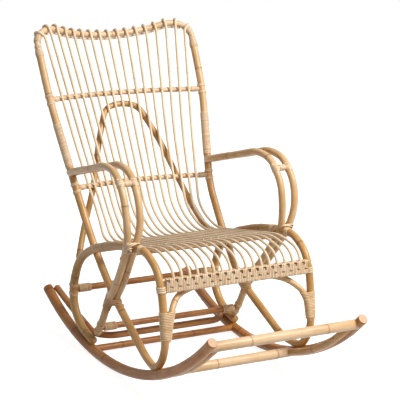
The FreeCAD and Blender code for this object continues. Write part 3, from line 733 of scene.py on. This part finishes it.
# %% Bend the side frames
SPLICE_Z, SPLICE_LAP = 672.0, 8.0        # height of the splice, and how far each half laps the other
FOOT_CUT, HOOP_CUT = 20.0, 4.0           # feet that are coped: the outer arm pole's and the hoop's
LAST_STEP = 1.0            # least run before a shortened end
BRIDGE_D, ARM_BRIDGE_Z = 18.0, 606.0


def part_at(line, z):
    """A line cut in two where it last passes a height, each half lapping the other a little."""
    run = lengths(line)
    cut = next(i for i in range(len(line) - 1, 0, -1) if line[i - 1].z <= z <= line[i].z)
    share = (z - line[cut - 1].z) / (line[cut].z - line[cut - 1].z)
    at = run[cut - 1] + share * (run[cut] - run[cut - 1])
    low = [p for p, r in zip(line, run) if r < at] + [along_line(line, run, at + SPLICE_LAP)]
    high = [along_line(line, run, at - SPLICE_LAP)] + [p for p, r in zip(line, run) if r > at]
    return low, high


def shortened(line, cut):
    """A line without its last few millimetres."""
    run = lengths(line)
    end = run[-1] - cut
    return [p for p, r in zip(line, run) if r < end - LAST_STEP] + [along_line(line, run, end)]


for name, side in SIDES.items():
    for kind, line in side_lines.items():
        lines[kind + name] = flip(line, side)
    low, high = part_at(lines["loop_" + name], SPLICE_Z)
    ends = [point_at(lines[kind + name], 2, ARM_BRIDGE_Z, last=True) for kind in ("outer_", "inner_")]
    lines["bridge_" + name] = ends
    pole("rear_hoop_" + name, shortened(lines["hoop_" + name], HOOP_CUT), HOOP_D, OLIVE, sawn=False)
    pole("side_loop_" + name, low, LOOP_D, TAN)
    pole("upper_post_" + name, high, LOOP_D, HONEY)
    pole("arm_outer_" + name, shortened(lines["outer_" + name], FOOT_CUT), ARM_D, HONEY, sawn=False)
    pole("arm_inner_" + name, lines["inner_" + name], ARM_D, HONEY, sawn=False)
    pole("arm_bridge_" + name, ends, BRIDGE_D, HONEY, rings=[])
print("side frames:", len(SIDES))

# %% [markdown]
# ## Crest rail and back bars
# The crest rail rises from the two posts, humps near each end and dips in the middle, and a thin rod runs under it.
# Two bars, bowed backwards, cross behind the slats. A Simple Deform modifier could bow a straight bar, but the
# slats have to meet the bars exactly, so each bar is drawn as a true arc.

# %% Bend the crest rail
CREST_D, CREST_ROD_D = 20.0, 6.0
THIN_ROD_SIDES = 10
CREST_RISE = 32.0
CREST_CORNERS = ((268, 489, 1022), (222, 504, 1029), (150, 521, 1009), (72, 531, 999), (0, 533, 995))
CREST_ROD_START = 0.13     # of the way from the first corner to the second

corners = [Vector(c) for c in CREST_CORNERS]
rise = (Vector(POST_TOP) - Vector(POST_HEAD)).normalized()
crest_half = [Vector(POST_TOP), Vector(POST_TOP) + rise * CREST_RISE] + corners
lines["crest"] = bend(both_halves(crest_half))
pole("crest_rail", lines["crest"], CREST_D, PALE)

steepest = max((b - a).length / (b - a).xy.length for a, b in zip(corners, corners[1:]))
under = Vector((0, 0, touch(CREST_D, CREST_ROD_D) * steepest))
rod_half = [corners[0].lerp(corners[1], CREST_ROD_START) - under] + [c - under for c in corners[1:]]
pole("crest_rod", bend(both_halves(rod_half)), CREST_ROD_D, PEELED, rings=[], sides=THIN_ROD_SIDES)
print("crest rail length", round(lengths(lines["crest"])[-1]), "mm")

# %% Bow the back bars
BACK_BAR_D = 16.0
BARS = {"upper": (811.0, 58.0), "lower": (536.0, 42.0)}      # height and bow
BAR_STEPS = 30             # on each half
BAR_RINGS = (90.0, 330.0, 505.0)
bar_centres = {}


def bow_arc(end, bow):
    """Centre and radius of a level arc from side to side, bowed backwards."""
    radius = (end.x ** 2 + bow ** 2) / (2 * bow)
    return Vector((0, end.y + bow - radius, end.z)), radius


for name, (z, bow) in BARS.items():
    end = point_at(lines["loop_left"], 2, z, last=True)
    centre, radius = bow_arc(end, bow)
    half_turn = math.asin(end.x / radius)
    turns = [half_turn * (1 - i / BAR_STEPS) for i in range(2 * BAR_STEPS + 1)]
    lines[name] = [centre + Vector((math.sin(a), math.cos(a), 0)) * radius for a in turns]
    bar_centres[name] = centre
    pole(name + "_back_bar", lines[name], BACK_BAR_D, PALE, rings=BAR_RINGS)
print("back bars:", len(BARS))

# %% [markdown]
# ## Slats
# Seventeen peeled rods make the back and the seat in one sweep: each is hooked over the crest rail, follows the two
# bars down the back, turns into the seat, rolls over the front edge and ends in the woven band. An Array modifier
# would repeat one rod, but the rods fan out towards the crest and each meets the curved rail at its own height, so
# each is drawn from the places that it touches.

# %% Draw a slat
SLAT_D = 8.0
EACH_SIDE = 8
PITCH = dict(crest=34.8, upper=30.5, lower=25.8, seat=26.4, band=28.9)
HOOK_END, HOOK_STEPS = 0.35, 8           # radians by which the hook stops short of a half turn, and its points
CREST_PROBE = 1.5          # sideways, to find the crest rail's slope
CREST_LEAD, BACK_MID_Z, LUMBAR_Z = 14.0, 665.0, 440.0
SEAT_REAR, SEAT_FRONT = (188, 377), (-152, 410)
ROLL_DROP = 28.0
BAND_Y, BAND_Z, BAND_RODS, BAND_ROD_D = -245.0, 320.0, 33.0, 10.0
BAND_LEAD, BAND_TAIL = 36.0, 20.0
SLAT_Y = BAND_Y - touch(BAND_ROD_D, SLAT_D)


def front_of_bar(name, x):
    point = point_at(lines[name], 0, x)
    return point + (bar_centres[name] - point).normalized() * touch(BACK_BAR_D, SLAT_D)


def on_towards(start, through, z):
    """Where the line from one point through another reaches a height."""
    way = through - start
    return through + way * ((z - through.z) / way.z)


def slat_line(index):
    at_crest = point_at(lines["crest"], 0, index * PITCH["crest"])
    beside = point_at(lines["crest"], 0, index * PITCH["crest"] - CREST_PROBE)
    across = (at_crest - beside).normalized()
    at_upper = front_of_bar("upper", index * PITCH["upper"])
    up = at_crest - at_upper
    up = (up - across * across.dot(up)).normalized()
    front = across.cross(up)
    reach = touch(CREST_D, SLAT_D)
    turns = [(math.pi - HOOK_END) * (1 - i / HOOK_STEPS) for i in range(HOOK_STEPS)]
    hook = [at_crest + (front * math.cos(a) + up * math.sin(a)) * reach for a in turns]
    hook_front = at_crest + front * reach
    lead = hook_front - up * CREST_LEAD
    back_mid = on_towards(lead, at_upper, BACK_MID_Z)
    lumbar = on_towards(back_mid, front_of_bar("lower", index * PITCH["lower"]), LUMBAR_Z)
    seat_x, band_x = index * PITCH["seat"], index * PITCH["band"]
    return hook + bend([
        hook_front, lead, back_mid, lumbar,
        (seat_x, *SEAT_REAR), ((seat_x + 2 * band_x) / 3, *SEAT_FRONT),
        (band_x, SLAT_Y + ROLL_DROP, BAND_Z + BAND_LEAD + ROLL_DROP),
        (band_x, SLAT_Y, BAND_Z + BAND_LEAD), (band_x, SLAT_Y, BAND_Z - BAND_TAIL),
    ])


print("middle slat length", round(lengths(slat_line(0))[-1]), "mm")

# %% Bend the slats
ROD_SIDES = 12
SLAT_FULLER = 0.7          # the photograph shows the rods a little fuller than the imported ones
SLATS = {"slat_%02d" % (index + EACH_SIDE + 1): index for index in range(-EACH_SIDE, EACH_SIDE + 1)}

for name, index in SLATS.items():
    lines[name] = slat_line(index)
    pole(name, lines[name], SLAT_D + SLAT_FULLER, PEELED, sides=ROD_SIDES)
print("slats:", len(SLATS))

# %% [markdown]
# ## Back arch, seat bars, band rods and apron
# A tall arch behind the slats springs from the hoops. Two bars carry the slats of the seat. Two thin rods stiffen
# the front band, and an arch under the seat front has its feet lashed to the legs. Each could be placed by eye,
# but all of them touch something, so their places are worked out from the poles that they lie against.

# %% Bend the back arch and the seat bars
ARCH_D, SEAT_BAR_D = 20.0, 18.0
ARCH_FOOT, ARCH_KNEE = (262, 266, 316), (216, 312, 402)
ARCH_CORNERS = ((160, 528, 22.6), (113, 662, 8.3), (62, 766, 3.0), (0, 778, 0.0))   # x, z, behind the slats
SEAT_BARS = {"mid_seat_bar": -67.0, "rear_seat_bar": 110.0}


def behind_slats(x, z, extra):
    low, high = front_of_bar("lower", x), front_of_bar("upper", x)
    lean = (high.y - low.y) / (high.z - low.z)
    return (x, low.y + lean * (z - low.z) + touch(SLAT_D, ARCH_D) + extra, z)


arch_half = [ARCH_FOOT, ARCH_KNEE] + [behind_slats(*c) for c in ARCH_CORNERS]
arch_line = bend(both_halves(flip(arch_half, 1)))
pole("back_arch", arch_line, ARCH_D, TAN)

slope = (SEAT_FRONT[1] - SEAT_REAR[1]) / (SEAT_FRONT[0] - SEAT_REAR[0])
for name, y in SEAT_BARS.items():
    z = SEAT_REAR[1] + slope * (y - SEAT_REAR[0]) - touch(SLAT_D, SEAT_BAR_D)
    lines[name] = [Vector((x, y, z)) for x in (-RAIL_X, RAIL_X)]
    pole(name, lines[name], SEAT_BAR_D, TAN)
print("arch length", round(lengths(arch_line)[-1]), "mm")

# %% Bend the band rods and the apron
APRON_D = 19.0
APRON_FOOT_Z, APRON_KNEE_Z, APRON_TUCK, APRON_ANGLE = 152.0, 239.0, 7.0, math.radians(23.0)
APRON_CORNERS = ((203, 284), (120, 307), (0, 313))
BAND_WALL = 1.5
BAND_RODS_Z = {"band_top_rod": BAND_Z + BAND_RODS / 2, "band_bottom_rod": BAND_Z - BAND_RODS / 2}

leg = lines["loop_left"]
for name, z in BAND_RODS_Z.items():
    half = point_at(leg, 2, z).x
    lines[name] = [Vector((x, BAND_Y, z)) for x in (-half, half)]
    pole(name, lines[name], BAND_ROD_D, PEELED, rings=[], sides=ROD_SIDES)

behind = BAND_Y + BAND_ROD_D / 2 + BAND_WALL + 2 * AIR + APRON_D / 2
inwards = Vector((-math.cos(APRON_ANGLE), -math.sin(APRON_ANGLE), 0))
apron_half = [point_at(leg, 2, APRON_FOOT_Z) + inwards * APRON_TUCK,
              point_at(leg, 2, APRON_KNEE_Z) + inwards * touch(LOOP_D, APRON_D)]
apron_half += [Vector((x, behind, z)) for x, z in APRON_CORNERS]
lines["apron"] = bend(both_halves(apron_half))
pole("apron_arch", lines["apron"], APRON_D, HONEY)
print("apron length", round(lengths(lines["apron"])[-1]), "mm")

# %% [markdown]
# ## Stretchers and braces
# Straight and bent poles tie the two side frames together: a thick pale pair in front and brown ones at the rear. A
# cylinder would do for the straight ones, but would lack their leaf rings, so they are poles like the others.

# %% Set the straight stretchers
FRONT_UPPER_D, FRONT_LOWER_D, REAR_LOWER_D = 32.0, 31.0, 22.0
HOOP_STRETCHER_D, LOW_STRETCHER_D = 21.0, 20.0
FRONT_UPPER_Y, FRONT_LOWER_Y, REAR_LOWER_Y = -502.0, -179.0, 169.0
FRONT_UPPER_RINGS, FRONT_LOWER_RINGS = (120.0, 395.0), (75.0, 300.0)
HOOP_STRETCHER_Z, LOW_STRETCHER_Z = 212.0, 114.0


def across_chair(half, y, z):
    return [Vector((half, y, z)), Vector((-half, y, z))]


for name, y, diameter, finish, rings in (
        ("front_upper_stretcher", FRONT_UPPER_Y, FRONT_UPPER_D, PALE, FRONT_UPPER_RINGS),
        ("front_lower_stretcher", FRONT_LOWER_Y, FRONT_LOWER_D, PALE, FRONT_LOWER_RINGS),
        ("rear_lower_stretcher", REAR_LOWER_Y, REAR_LOWER_D, BROWN, None)):
    pole(name, across_chair(ROCKER_HALF, y, rocker_z(y)), diameter, finish, rings)
hoop_y = point_at(lines["hoop_left"], 2, HOOP_STRETCHER_Z).y
lines["hoop_stretcher"] = across_chair(RAIL_X, hoop_y, HOOP_STRETCHER_Z)
pole("hoop_stretcher", lines["hoop_stretcher"], HOOP_STRETCHER_D, BROWN)
lines["low_stretcher"] = across_chair(*point_at(lines["outer_left"], 2, LOW_STRETCHER_Z, last=True))
pole("low_stretcher", lines["low_stretcher"], LOW_STRETCHER_D, BROWN)
print("low stretcher length", round(lengths(lines["low_stretcher"])[-1]), "mm")

# %% Bend the braces and the rear stretcher
BRACE_D, REAR_U_D = 24.0, 22.0
BRACE_CORNERS = ((-290, 6), (-400, 8))             # y, below the rocker's centre line
BRACE_END = (8, 10)                                # behind the front upper stretcher, below its centre line
REAR_U_TIP = (14, 10)                              # before the rocker's end, above its centre line
REAR_U_CORNERS = ((315, 28), (205, 29))            # y, above the rocker's centre line
REAR_U_BEND, REAR_U_Y, REAR_U_Z = 42.0, 168.0, 74.0

brace_x = ROCKER_HALF - touch(ROCKER_D, BRACE_D)
brace = [(brace_x, FRONT_LOWER_Y, rocker_z(FRONT_LOWER_Y))]
brace += [(brace_x, y, rocker_z(y) - below) for y, below in BRACE_CORNERS]
brace += [(brace_x, FRONT_UPPER_Y + BRACE_END[0], rocker_z(FRONT_UPPER_Y) - BRACE_END[1])]
for name, side in SIDES.items():
    lines["brace_" + name] = bend(flip(brace, side))
    pole("front_brace_" + name, lines["brace_" + name], BRACE_D, TAN)

u_x = ROCKER_HALF - touch(ROCKER_D, REAR_U_D)
tip_y = ROCKER_ENDS[1] - REAR_U_TIP[0]
square = REAR_U_TIP[1] * math.sqrt(1 - ((tip_y - ROCKER_LOW_Y) / ROCKER_R) ** 2)
tip_x = ROCKER_HALF - math.sqrt(touch(ROCKER_D, REAR_U_D) ** 2 - square ** 2)
u_half = [(tip_x, tip_y, rocker_z(tip_y) + REAR_U_TIP[1])]
u_half += [(u_x, y, rocker_z(y) + over) for y, over in REAR_U_CORNERS]
u_half += [(u_x - REAR_U_BEND, REAR_U_Y, REAR_U_Z)]
rear_u_line = bend(flip(u_half, 1) + flip(u_half[::-1], -1))
pole("rear_u_stretcher", rear_u_line, REAR_U_D, BROWN)
print("rear stretcher length", round(lengths(rear_u_line)[-1]), "mm")

# %% [markdown]
# ## Binding with split cane
# The joints are bound with strips of split cane. A Screw modifier would wind a strip round a straight axis, but
# these bindings go round bent poles, and often round two at once. A strip that is pulled tight follows the outline
# that a string would take, so each turn is the tight outline of its poles in a plane across them, and the turns
# climb along the winding.

# %% Pull a strand tight
LOOK = 32                  # points looked at round each pole
NEAR = 4                   # diameters within which a pole is bound


def crossing(line, origin, normal):
    """Where a line passes the plane nearest to the origin of a winding, and which way it goes."""
    found = None
    for a, b in zip(line, line[1:]):
        first, second = (a - origin).dot(normal), (b - origin).dot(normal)
        if first * second <= 0 and first != second:
            point = a.lerp(b, first / (first - second))
            if found is None or (point - origin).length < (found[0] - origin).length:
                found = point, (b - a).normalized()
    return found


def outline(line, diameter, origin, normal, lift):
    """Places round one pole where a plane cuts it, seen from the plane's origin."""
    met = crossing(line, origin, normal)
    if not met or (met[0] - origin).length > NEAR * diameter:
        return []
    centre, way = met
    side = way.orthogonal().normalized()
    other = way.cross(side)
    places = []
    for k in range(LOOK):
        turn = 2 * math.pi * k / LOOK
        reach = (side * math.cos(turn) + other * math.sin(turn)) * (diameter / 2 + lift)
        reach -= way * (reach.dot(normal) / way.dot(normal))
        places.append(centre + reach - origin)
    return places


def tight_loop(origin, normal, poles, lift, count):
    """Points of a strand pulled tight round some poles in one plane, with their outward directions."""
    across = normal.orthogonal().normalized()
    third = normal.cross(across)
    flat = [Vector((place.dot(across), place.dot(third)))
            for line, diameter in poles for place in outline(line, diameter, origin, normal, lift)]
    hull = [flat[i] for i in convex_hull_2d(flat)]
    if sum(a.x * b.y - a.y * b.x for a, b in zip(hull, hull[1:] + hull[:1])) < 0:
        hull.reverse()
    first = max(range(len(hull)), key=lambda i: hull[i].x)
    ring = [Vector((p.x, p.y, 0)) for p in hull[first:] + hull[:first] + [hull[first]]]
    run = lengths(ring)
    even = [along_line(ring, run, run[-1] * k / count) for k in range(count)]
    loop = []
    for k, p in enumerate(even):
        way = even[(k + 1) % count] - even[k - 1]
        out = (across * way.y - third * way.x).normalized()
        loop.append((origin + across * p.x + third * p.y, out))
    return loop


print("a strand round one pole has", LOOK, "points to choose from")

# %% Extrude a strip
STRIP_SIDES = 8
STRIP_SHIFT = 0.37         # metres along the noise from one strip to the next


def add_strip(bm, path, width, thick, closed=False):
    """Extrude one flat strip along points with outward directions, in millimetres."""
    points = [p for p, out in path]
    places = square_frames(points, [out for p, out in path])
    matrices = [ring_matrix(place, thick / 2, width / 2) for place in places]
    run = [r * MILLIMETRE for r in lengths(points)]
    small = new_bmesh()
    extrude_ring(small, matrices, run, [NO_RING * MILLIMETRE] * len(run), STRIP_SIDES,
                 next(serial) * STRIP_SHIFT, width / 2 * MILLIMETRE, closed)
    add_to(bm, small)


print("strips have", STRIP_SIDES, "sides")

# %% Wind a strip
TUCK = 0.7                 # of its thickness by which a strip's end is pressed in


def wrap(bm, middle, normal, poles, turns, pitch, width=4.2, thick=1.6, count=20, lift=0.0):
    """Wind one strip round some poles, with its middle turn at a point."""
    normal = normal.normalized()
    start = middle - normal * (pitch * turns / 2)
    loops = [tight_loop(start + normal * pitch * j, normal, poles, lift + thick / 2, count)
             for j in range(turns + 1)]
    path = []
    for j in range(turns):
        for k in range(count):
            (p, out), (q, out_next) = loops[j][k], loops[j + 1][k]
            path.append((p.lerp(q, k / count), out.lerp(out_next, k / count)))
    path.append(loops[turns][0])
    for end in (0, -1):
        p, out = path[end]
        path[end] = (p - out * thick * TUCK, out)
    add_strip(bm, path, width, thick)


print("a strip's end is pressed in by", TUCK, "of its thickness")

# %% Bind a joint
BESIDE_GAP, BESIDE_TURNS, BESIDE_PITCH = 4.5, 2, 4.6
BESIDE_STRIP = dict(width=4.6, thick=2.2)
CLOSE = 1.02               # pitch of a close lashing, in widths


def direction(line, at):
    """Which way a line goes where it is nearest to a point."""
    near = min(range(len(line) - 1), key=lambda i: (line[i].lerp(line[i + 1], 0.5) - at).length)
    return (line[near + 1] - line[near]).normalized()


def wrap_beside(bm, butt, at, diameter):
    """Turns of cane round a pole on both sides of the bar that meets it."""
    way = direction(butt[0], at)
    for side in (-1, 1):
        middle = at + way * side * (diameter / 2 + BESIDE_GAP)
        wrap(bm, middle, way, [butt], BESIDE_TURNS, BESIDE_PITCH, **BESIDE_STRIP)


def cross_lash(bm, first, second, at, turns, width, thick=1.6, count=20, both=True):
    """Lash two crossing poles with turns across one diagonal of the crossing and then across the other."""
    ways = [direction(line, at) for line, diameter in (first, second)]
    wrap(bm, at, ways[0] + ways[1], (first, second), turns, width * CLOSE, width, thick, count)
    if both:
        wrap(bm, at, ways[0] - ways[1], (first, second), turns, width * CLOSE, width, thick, count, thick)


print("turns on each side of a joint:", BESIDE_TURNS)

# %% [markdown]
# ## Post windings and crest corners
# The splice in each post is hidden under a long close winding. Shorter ones cover the joint between the post and
# the crest rail. A bump in the pole's material could stand for the turns, but they show in the outline, so the
# strip is wound for real.

# %% Wind the posts
POST_WRAP = (600.0, 736.0)
WRAP_PITCH = 4.1
POST_STRIP = dict(width=3.9, thick=1.9)

for name, side in SIDES.items():
    post = lines["loop_" + name]
    foot, head = (Vector(p) for p in flip((POST_FOOT, POST_HEAD), side))
    low, high = (point_at(post, 2, z, last=True) for z in POST_WRAP)
    turns = round((high - low).length / WRAP_PITCH)
    bm = new_bmesh()
    wrap(bm, (low + high) / 2, head - foot, [(post, LOOP_D)], turns, WRAP_PITCH, **POST_STRIP)
    finish_piece("post_winding_" + name, bm, CANE, ["post_winding_" + name])
    print("post winding", name, turns, "turns")

# %% Wind the crest corners
CORNER_TURNS, CORNER_DROP = 9, 2
CORNER_BEND = 44.0         # from the post's top along the crest rail to the middle of its bend
CREST_STRIP = dict(width=3.9, thick=2.2)

bm = new_bmesh()
for name, side in SIDES.items():
    head, top = (Vector(p) for p in flip((POST_HEAD, POST_TOP), side))
    poles = [(lines["loop_" + name], LOOP_D), (lines["crest"], CREST_D)]
    at = top - (top - head).normalized() * CORNER_DROP
    wrap(bm, at, top - head, poles, CORNER_TURNS, WRAP_PITCH, **POST_STRIP)
    crest = lines["crest"] if side > 0 else lines["crest"][::-1]
    at = along_line(crest, lengths(crest), CORNER_BEND)
    wrap(bm, at, direction(crest, at), [(crest, CREST_D)], CORNER_TURNS, WRAP_PITCH, **CREST_STRIP)
finish_piece("crest_corner_windings", bm, CANE, ["crest_corner_windings"])
print("turns at a crest corner:", 2 * CORNER_TURNS)

# %% [markdown]
# ## Leg lashings, bar ends and stretcher ends
# The apron's feet lie against the legs under a lashing that tapers with them. The bars and stretchers have short
# sleeves of cane at their ends, and a few turns go round the pole that they meet, on both sides of the joint. A
# plain collar would be quicker, but the edges of the turns show from close by.

# %% Lash the apron to the legs
LASHING = (160.0, 242.0)
LASH_PITCH = 4.9
LEG_STRIP = dict(width=4.6, thick=2.8, count=28)
UP = Vector((0, 0, 1))

turns = round((LASHING[1] - LASHING[0]) / LASH_PITCH)
for name in SIDES:
    poles = [(lines["loop_" + name], LOOP_D), (lines["apron"], APRON_D)]
    at = point_at(lines["loop_" + name], 2, sum(LASHING) / 2)
    bm = new_bmesh()
    wrap(bm, at, UP, poles, turns, LASH_PITCH, **LEG_STRIP)
    finish_piece("leg_lashing_" + name, bm, LASH, ["leg_lashing_" + name])
print("leg lashings of", turns, "turns")

# %% Wind the ends of the bars and stretchers
BAR_END, BAR_END_TURNS = 25, 5           # distance from the post's middle
SLEEVE_TURNS, SLEEVE_GAP = 9, 4
SLEEVE_STRIP = dict(width=4.6, thick=3.4)
SLEEVED = (("hoop_stretcher", HOOP_STRETCHER_D, "hoop_", HOOP_D),
           ("low_stretcher", LOW_STRETCHER_D, "outer_", ARM_D))
ACROSS = Vector((1, 0, 0))

bm = new_bmesh()
for name, side in SIDES.items():
    for bar in BARS:
        post = point_at(lines["loop_" + name], 2, BARS[bar][0], last=True)
        at = point_at(lines[bar], 0, post.x - side * BAR_END)
        wrap(bm, at, at - post, [(lines[bar], BACK_BAR_D)], BAR_END_TURNS, WRAP_PITCH)
        wrap_beside(bm, (lines["loop_" + name], LOOP_D), post, BACK_BAR_D)
finish_piece("back_bar_windings", bm, CANE, ["back_bar_windings"])

bm = new_bmesh()
for name, side in SIDES.items():
    for rod, diameter, butt, butt_d in SLEEVED:
        end = lines[rod][0] if side > 0 else lines[rod][1]
        inset = butt_d / 2 + SLEEVE_GAP + LASH_PITCH * SLEEVE_TURNS / 2
        at = end - ACROSS * (side * inset)
        wrap(bm, at, ACROSS, [(lines[rod], diameter)], SLEEVE_TURNS, LASH_PITCH, **SLEEVE_STRIP)
        wrap_beside(bm, (lines[butt + name], butt_d), end, diameter)
finish_piece("stretcher_windings", bm, LASH, ["stretcher_windings"])
print("bound ends:", len(SIDES) * (len(BARS) + len(SLEEVED)))

# %% [markdown]
# ## Lashings of the side frames
# Where the outer arm pole crosses the diagonal and the seat rail, it is lashed in a cross. Leg and rail have a few
# turns of their own beside the seat joint, and the short bridge between the arm poles has turns round both poles
# and round itself. Curves drawn by hand would look livelier, but would not lie on the poles, so the same tight
# turns are used.

# %% Lash the side frames
LASH_WIDTH = 4.6
CROSSING_TURNS, JOINT_TURNS = 5, 4
RAIL_TURNS, RAIL_SHIFT, LEG_SHIFT = 4, 42, -40     # turns beside the seat joint, and how far from it
ARM_TURNS, BRIDGE_TURNS = 6, 5
ALONG = Vector((0, 1, 0))

for name, side in SIDES.items():
    outer, inner = (lines["outer_" + name], ARM_D), (lines["inner_" + name], ARM_D)
    loop, rail = (lines["loop_" + name], LOOP_D), (lines["hoop_" + name], HOOP_D)
    bm = new_bmesh()
    at = Vector((side * (CROSS_X + ARM_DOWN_X) / 2, *CROSSING))
    cross_lash(bm, outer, loop, at, CROSSING_TURNS, LASH_WIDTH)
    finish_piece("crossing_lashing_" + name, bm, TAN_CANE)
    bm = new_bmesh()
    at = Vector((side * (RAIL_X + ARM_OUT_X) / 2, *SEAT_JOINT[1:]))
    cross_lash(bm, outer, rail, at, JOINT_TURNS, LASH_WIDTH)
    for bound, shift in ((rail, RAIL_SHIFT), (loop, LEG_SHIFT)):
        wrap(bm, point_at(bound[0], 1, SEAT_JOINT[1] + shift), ALONG, [bound], RAIL_TURNS, WRAP_PITCH)
    finish_piece("seat_joint_lashing_" + name, bm, CANE)
    bm = new_bmesh()
    ends = lines["bridge_" + name]
    for arm, end in zip((outer, inner), ends):
        wrap(bm, end, direction(arm[0], end), [arm], ARM_TURNS, WRAP_PITCH)
    wrap(bm, (ends[0] + ends[1]) / 2, ends[1] - ends[0], [(ends, BRIDGE_D)], BRIDGE_TURNS, WRAP_PITCH)
    finish_piece("arm_bridge_lashing_" + name, bm, CANE)
print("lashings of the side frames:", 3 * len(SIDES))

# %% [markdown]
# ## Nails
# Two nail heads show in the photograph: one at the right seat joint and one in the left brace. Dark spots in the
# skin would pass from afar, but a flattened ball for each head is as easy and catches the light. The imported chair
# names no steel finish, so this piece takes its finish from no slot.

# %% Drive the nails
NAIL_D, NAIL_FLAT = 5.0, 0.5
NAIL_RINGS = dict(u_segments=12, v_segments=8)
NAILS = (                  # line, diameter, place along y, outwards
    (lines["loop_right"], LOOP_D, -132.0, Vector((0, -0.35, 0.94))),
    (lines["brace_left"], BRACE_D, -430.0, Vector((-0.95, -0.2, 0.2))),
)
STEEL, STEEL_METALLIC, STEEL_ROUGHNESS = tone(74, 52, 38), 0.6, 0.5

steel = bpy.data.materials.new("dull_steel")
steel.use_nodes = True
shader = steel.node_tree.nodes["Principled BSDF"]
shader.inputs["Base Color"].default_value = STEEL
shader.inputs["Metallic"].default_value = STEEL_METALLIC
shader.inputs["Roughness"].default_value = STEEL_ROUGHNESS

bm = new_bmesh()
flatten = Matrix.Diagonal((1.0, 1.0, NAIL_FLAT, 1.0))
for line, diameter, y, outward in NAILS:
    at = point_at(line, 1, y) + outward.normalized() * diameter / 2
    turn = outward.to_track_quat("Z", "Y").to_matrix().to_4x4()
    bmesh.ops.create_uvsphere(bm, radius=NAIL_D / 2 * MILLIMETRE, **NAIL_RINGS,
                              matrix=Matrix.Translation(spot(*at)) @ turn @ flatten)
finish_piece("nails", bm, steel)
print("nails:", len(NAILS))

# %% [markdown]
# ## Slat lashings
# Each slat is tied to the bars that it passes with two turns of fine cane. One knot could be modelled and copied,
# but the slats cross the bars at changing angles, so each tie is wound in its place.

# %% Tie the slats
TIE = dict(turns=2, width=2.6, thick=1.1, count=14, both=False)
TIE_RISE = 10              # of a tie's middle over the seat bar's

bm = new_bmesh()
seat_bar, seat_bar_y = (lines["mid_seat_bar"], SEAT_BAR_D), SEAT_BARS["mid_seat_bar"]
for name, index in SLATS.items():
    slat = (lines[name], SLAT_D)
    for bar in BARS:
        x = index * PITCH[bar]
        at = (point_at(lines[bar], 0, x) + front_of_bar(bar, x)) / 2
        cross_lash(bm, slat, (lines[bar], BACK_BAR_D), at, **TIE)
    seat = min((p for p in slat[0] if p.z < LUMBAR_Z), key=lambda p: abs(p.y - seat_bar_y))
    at = Vector((seat.x, seat_bar_y, seat_bar[0][0].z + TIE_RISE))
    cross_lash(bm, slat, seat_bar, at, **TIE)
finish_piece("slat_lashings", bm, CANE)
print("ties:", len(SLATS) * (len(BARS) + 1))

# %% [markdown]
# ## Front band
# The slats' ends and the two rods are woven together with upright strips of cane, close beside each other. Beside
# each slat some strips are skipped, which leaves one small dark hole high up and another lower down. A bump
# pattern on a plain sleeve would have no depth in its holes, so every strip is a closed loop round the rods, or an
# open one where it is skipped.

# %% Weave the front band
STRIPS_PER_SLAT = 5
BAND_STRIP = PITCH["band"] / STRIPS_PER_SLAT
BAND_STRIP_SHARE, BAND_STRIP_THICK, BAND_LIFT = 0.94, 2.6, 0.6
BAND_CLEAR = 3.0           # from the last strip to the leg
PLAIN_POINTS, HOLED_POINTS = 30, 90      # round a strip
FACING = -0.7              # outward y below which a point is on the band's front
HOLES = {1: (15.0, 18.0), 2: (10.0, 18.0), 3: (-6.0, -1.0), 4: (-6.0, -3.0)}   # by strip, over the band's middle


def skipped(column, place, out):
    """Whether a point of a strip lies in a hole of the band's front."""
    low, high = HOLES.get(column, (0.0, 0.0))
    return out.y < FACING and low < place.z - BAND_Z < high


band_poles = [(lines[name], BAND_ROD_D) for name in BAND_RODS_Z]
for z in (BAND_Z - BAND_RODS / 2, BAND_Z + BAND_RODS / 2):
    band_poles.append(([Vector((x, SLAT_Y, z)) for x in (-RAIL_X, RAIL_X)], SLAT_D))
bm = new_bmesh()
strips = int((RAIL_X - LOOP_D / 2 - BAND_CLEAR) // BAND_STRIP)
for number in range(-strips, strips + 1):
    at = Vector((number * BAND_STRIP, (BAND_Y + SLAT_Y) / 2, BAND_Z))
    column = number % STRIPS_PER_SLAT
    loop = tight_loop(at, ACROSS, band_poles, BAND_LIFT, HOLED_POINTS if column in HOLES else PLAIN_POINTS)
    kept = [not skipped(column, *place) for place in loop]
    whole = all(kept)
    start = 0 if whole else next(k for k in range(len(loop)) if kept[k] and not kept[k - 1])
    path = [loop[(start + k) % len(loop)] for k in range(sum(kept))]
    add_strip(bm, path, BAND_STRIP * BAND_STRIP_SHARE, BAND_STRIP_THICK, closed=whole)
finish_piece("front_band_weave", bm, CANE, ["front_band_weave"])
print("band of", 2 * strips + 1, "strips")

# %% Tie the ends of the band
END_TURNS, END_PITCH, END_DROP = 3, 6.2, 11
END_STRIP = dict(width=6.0, thick=3.2)

bm = new_bmesh()
for name in SIDES:
    leg = (lines["loop_" + name], LOOP_D)
    wrap(bm, point_at(leg[0], 2, BAND_Z - END_DROP), UP, [leg], END_TURNS, END_PITCH, **END_STRIP)
finish_piece("band_end_ties", bm, CANE)
print("end ties:", len(SIDES))
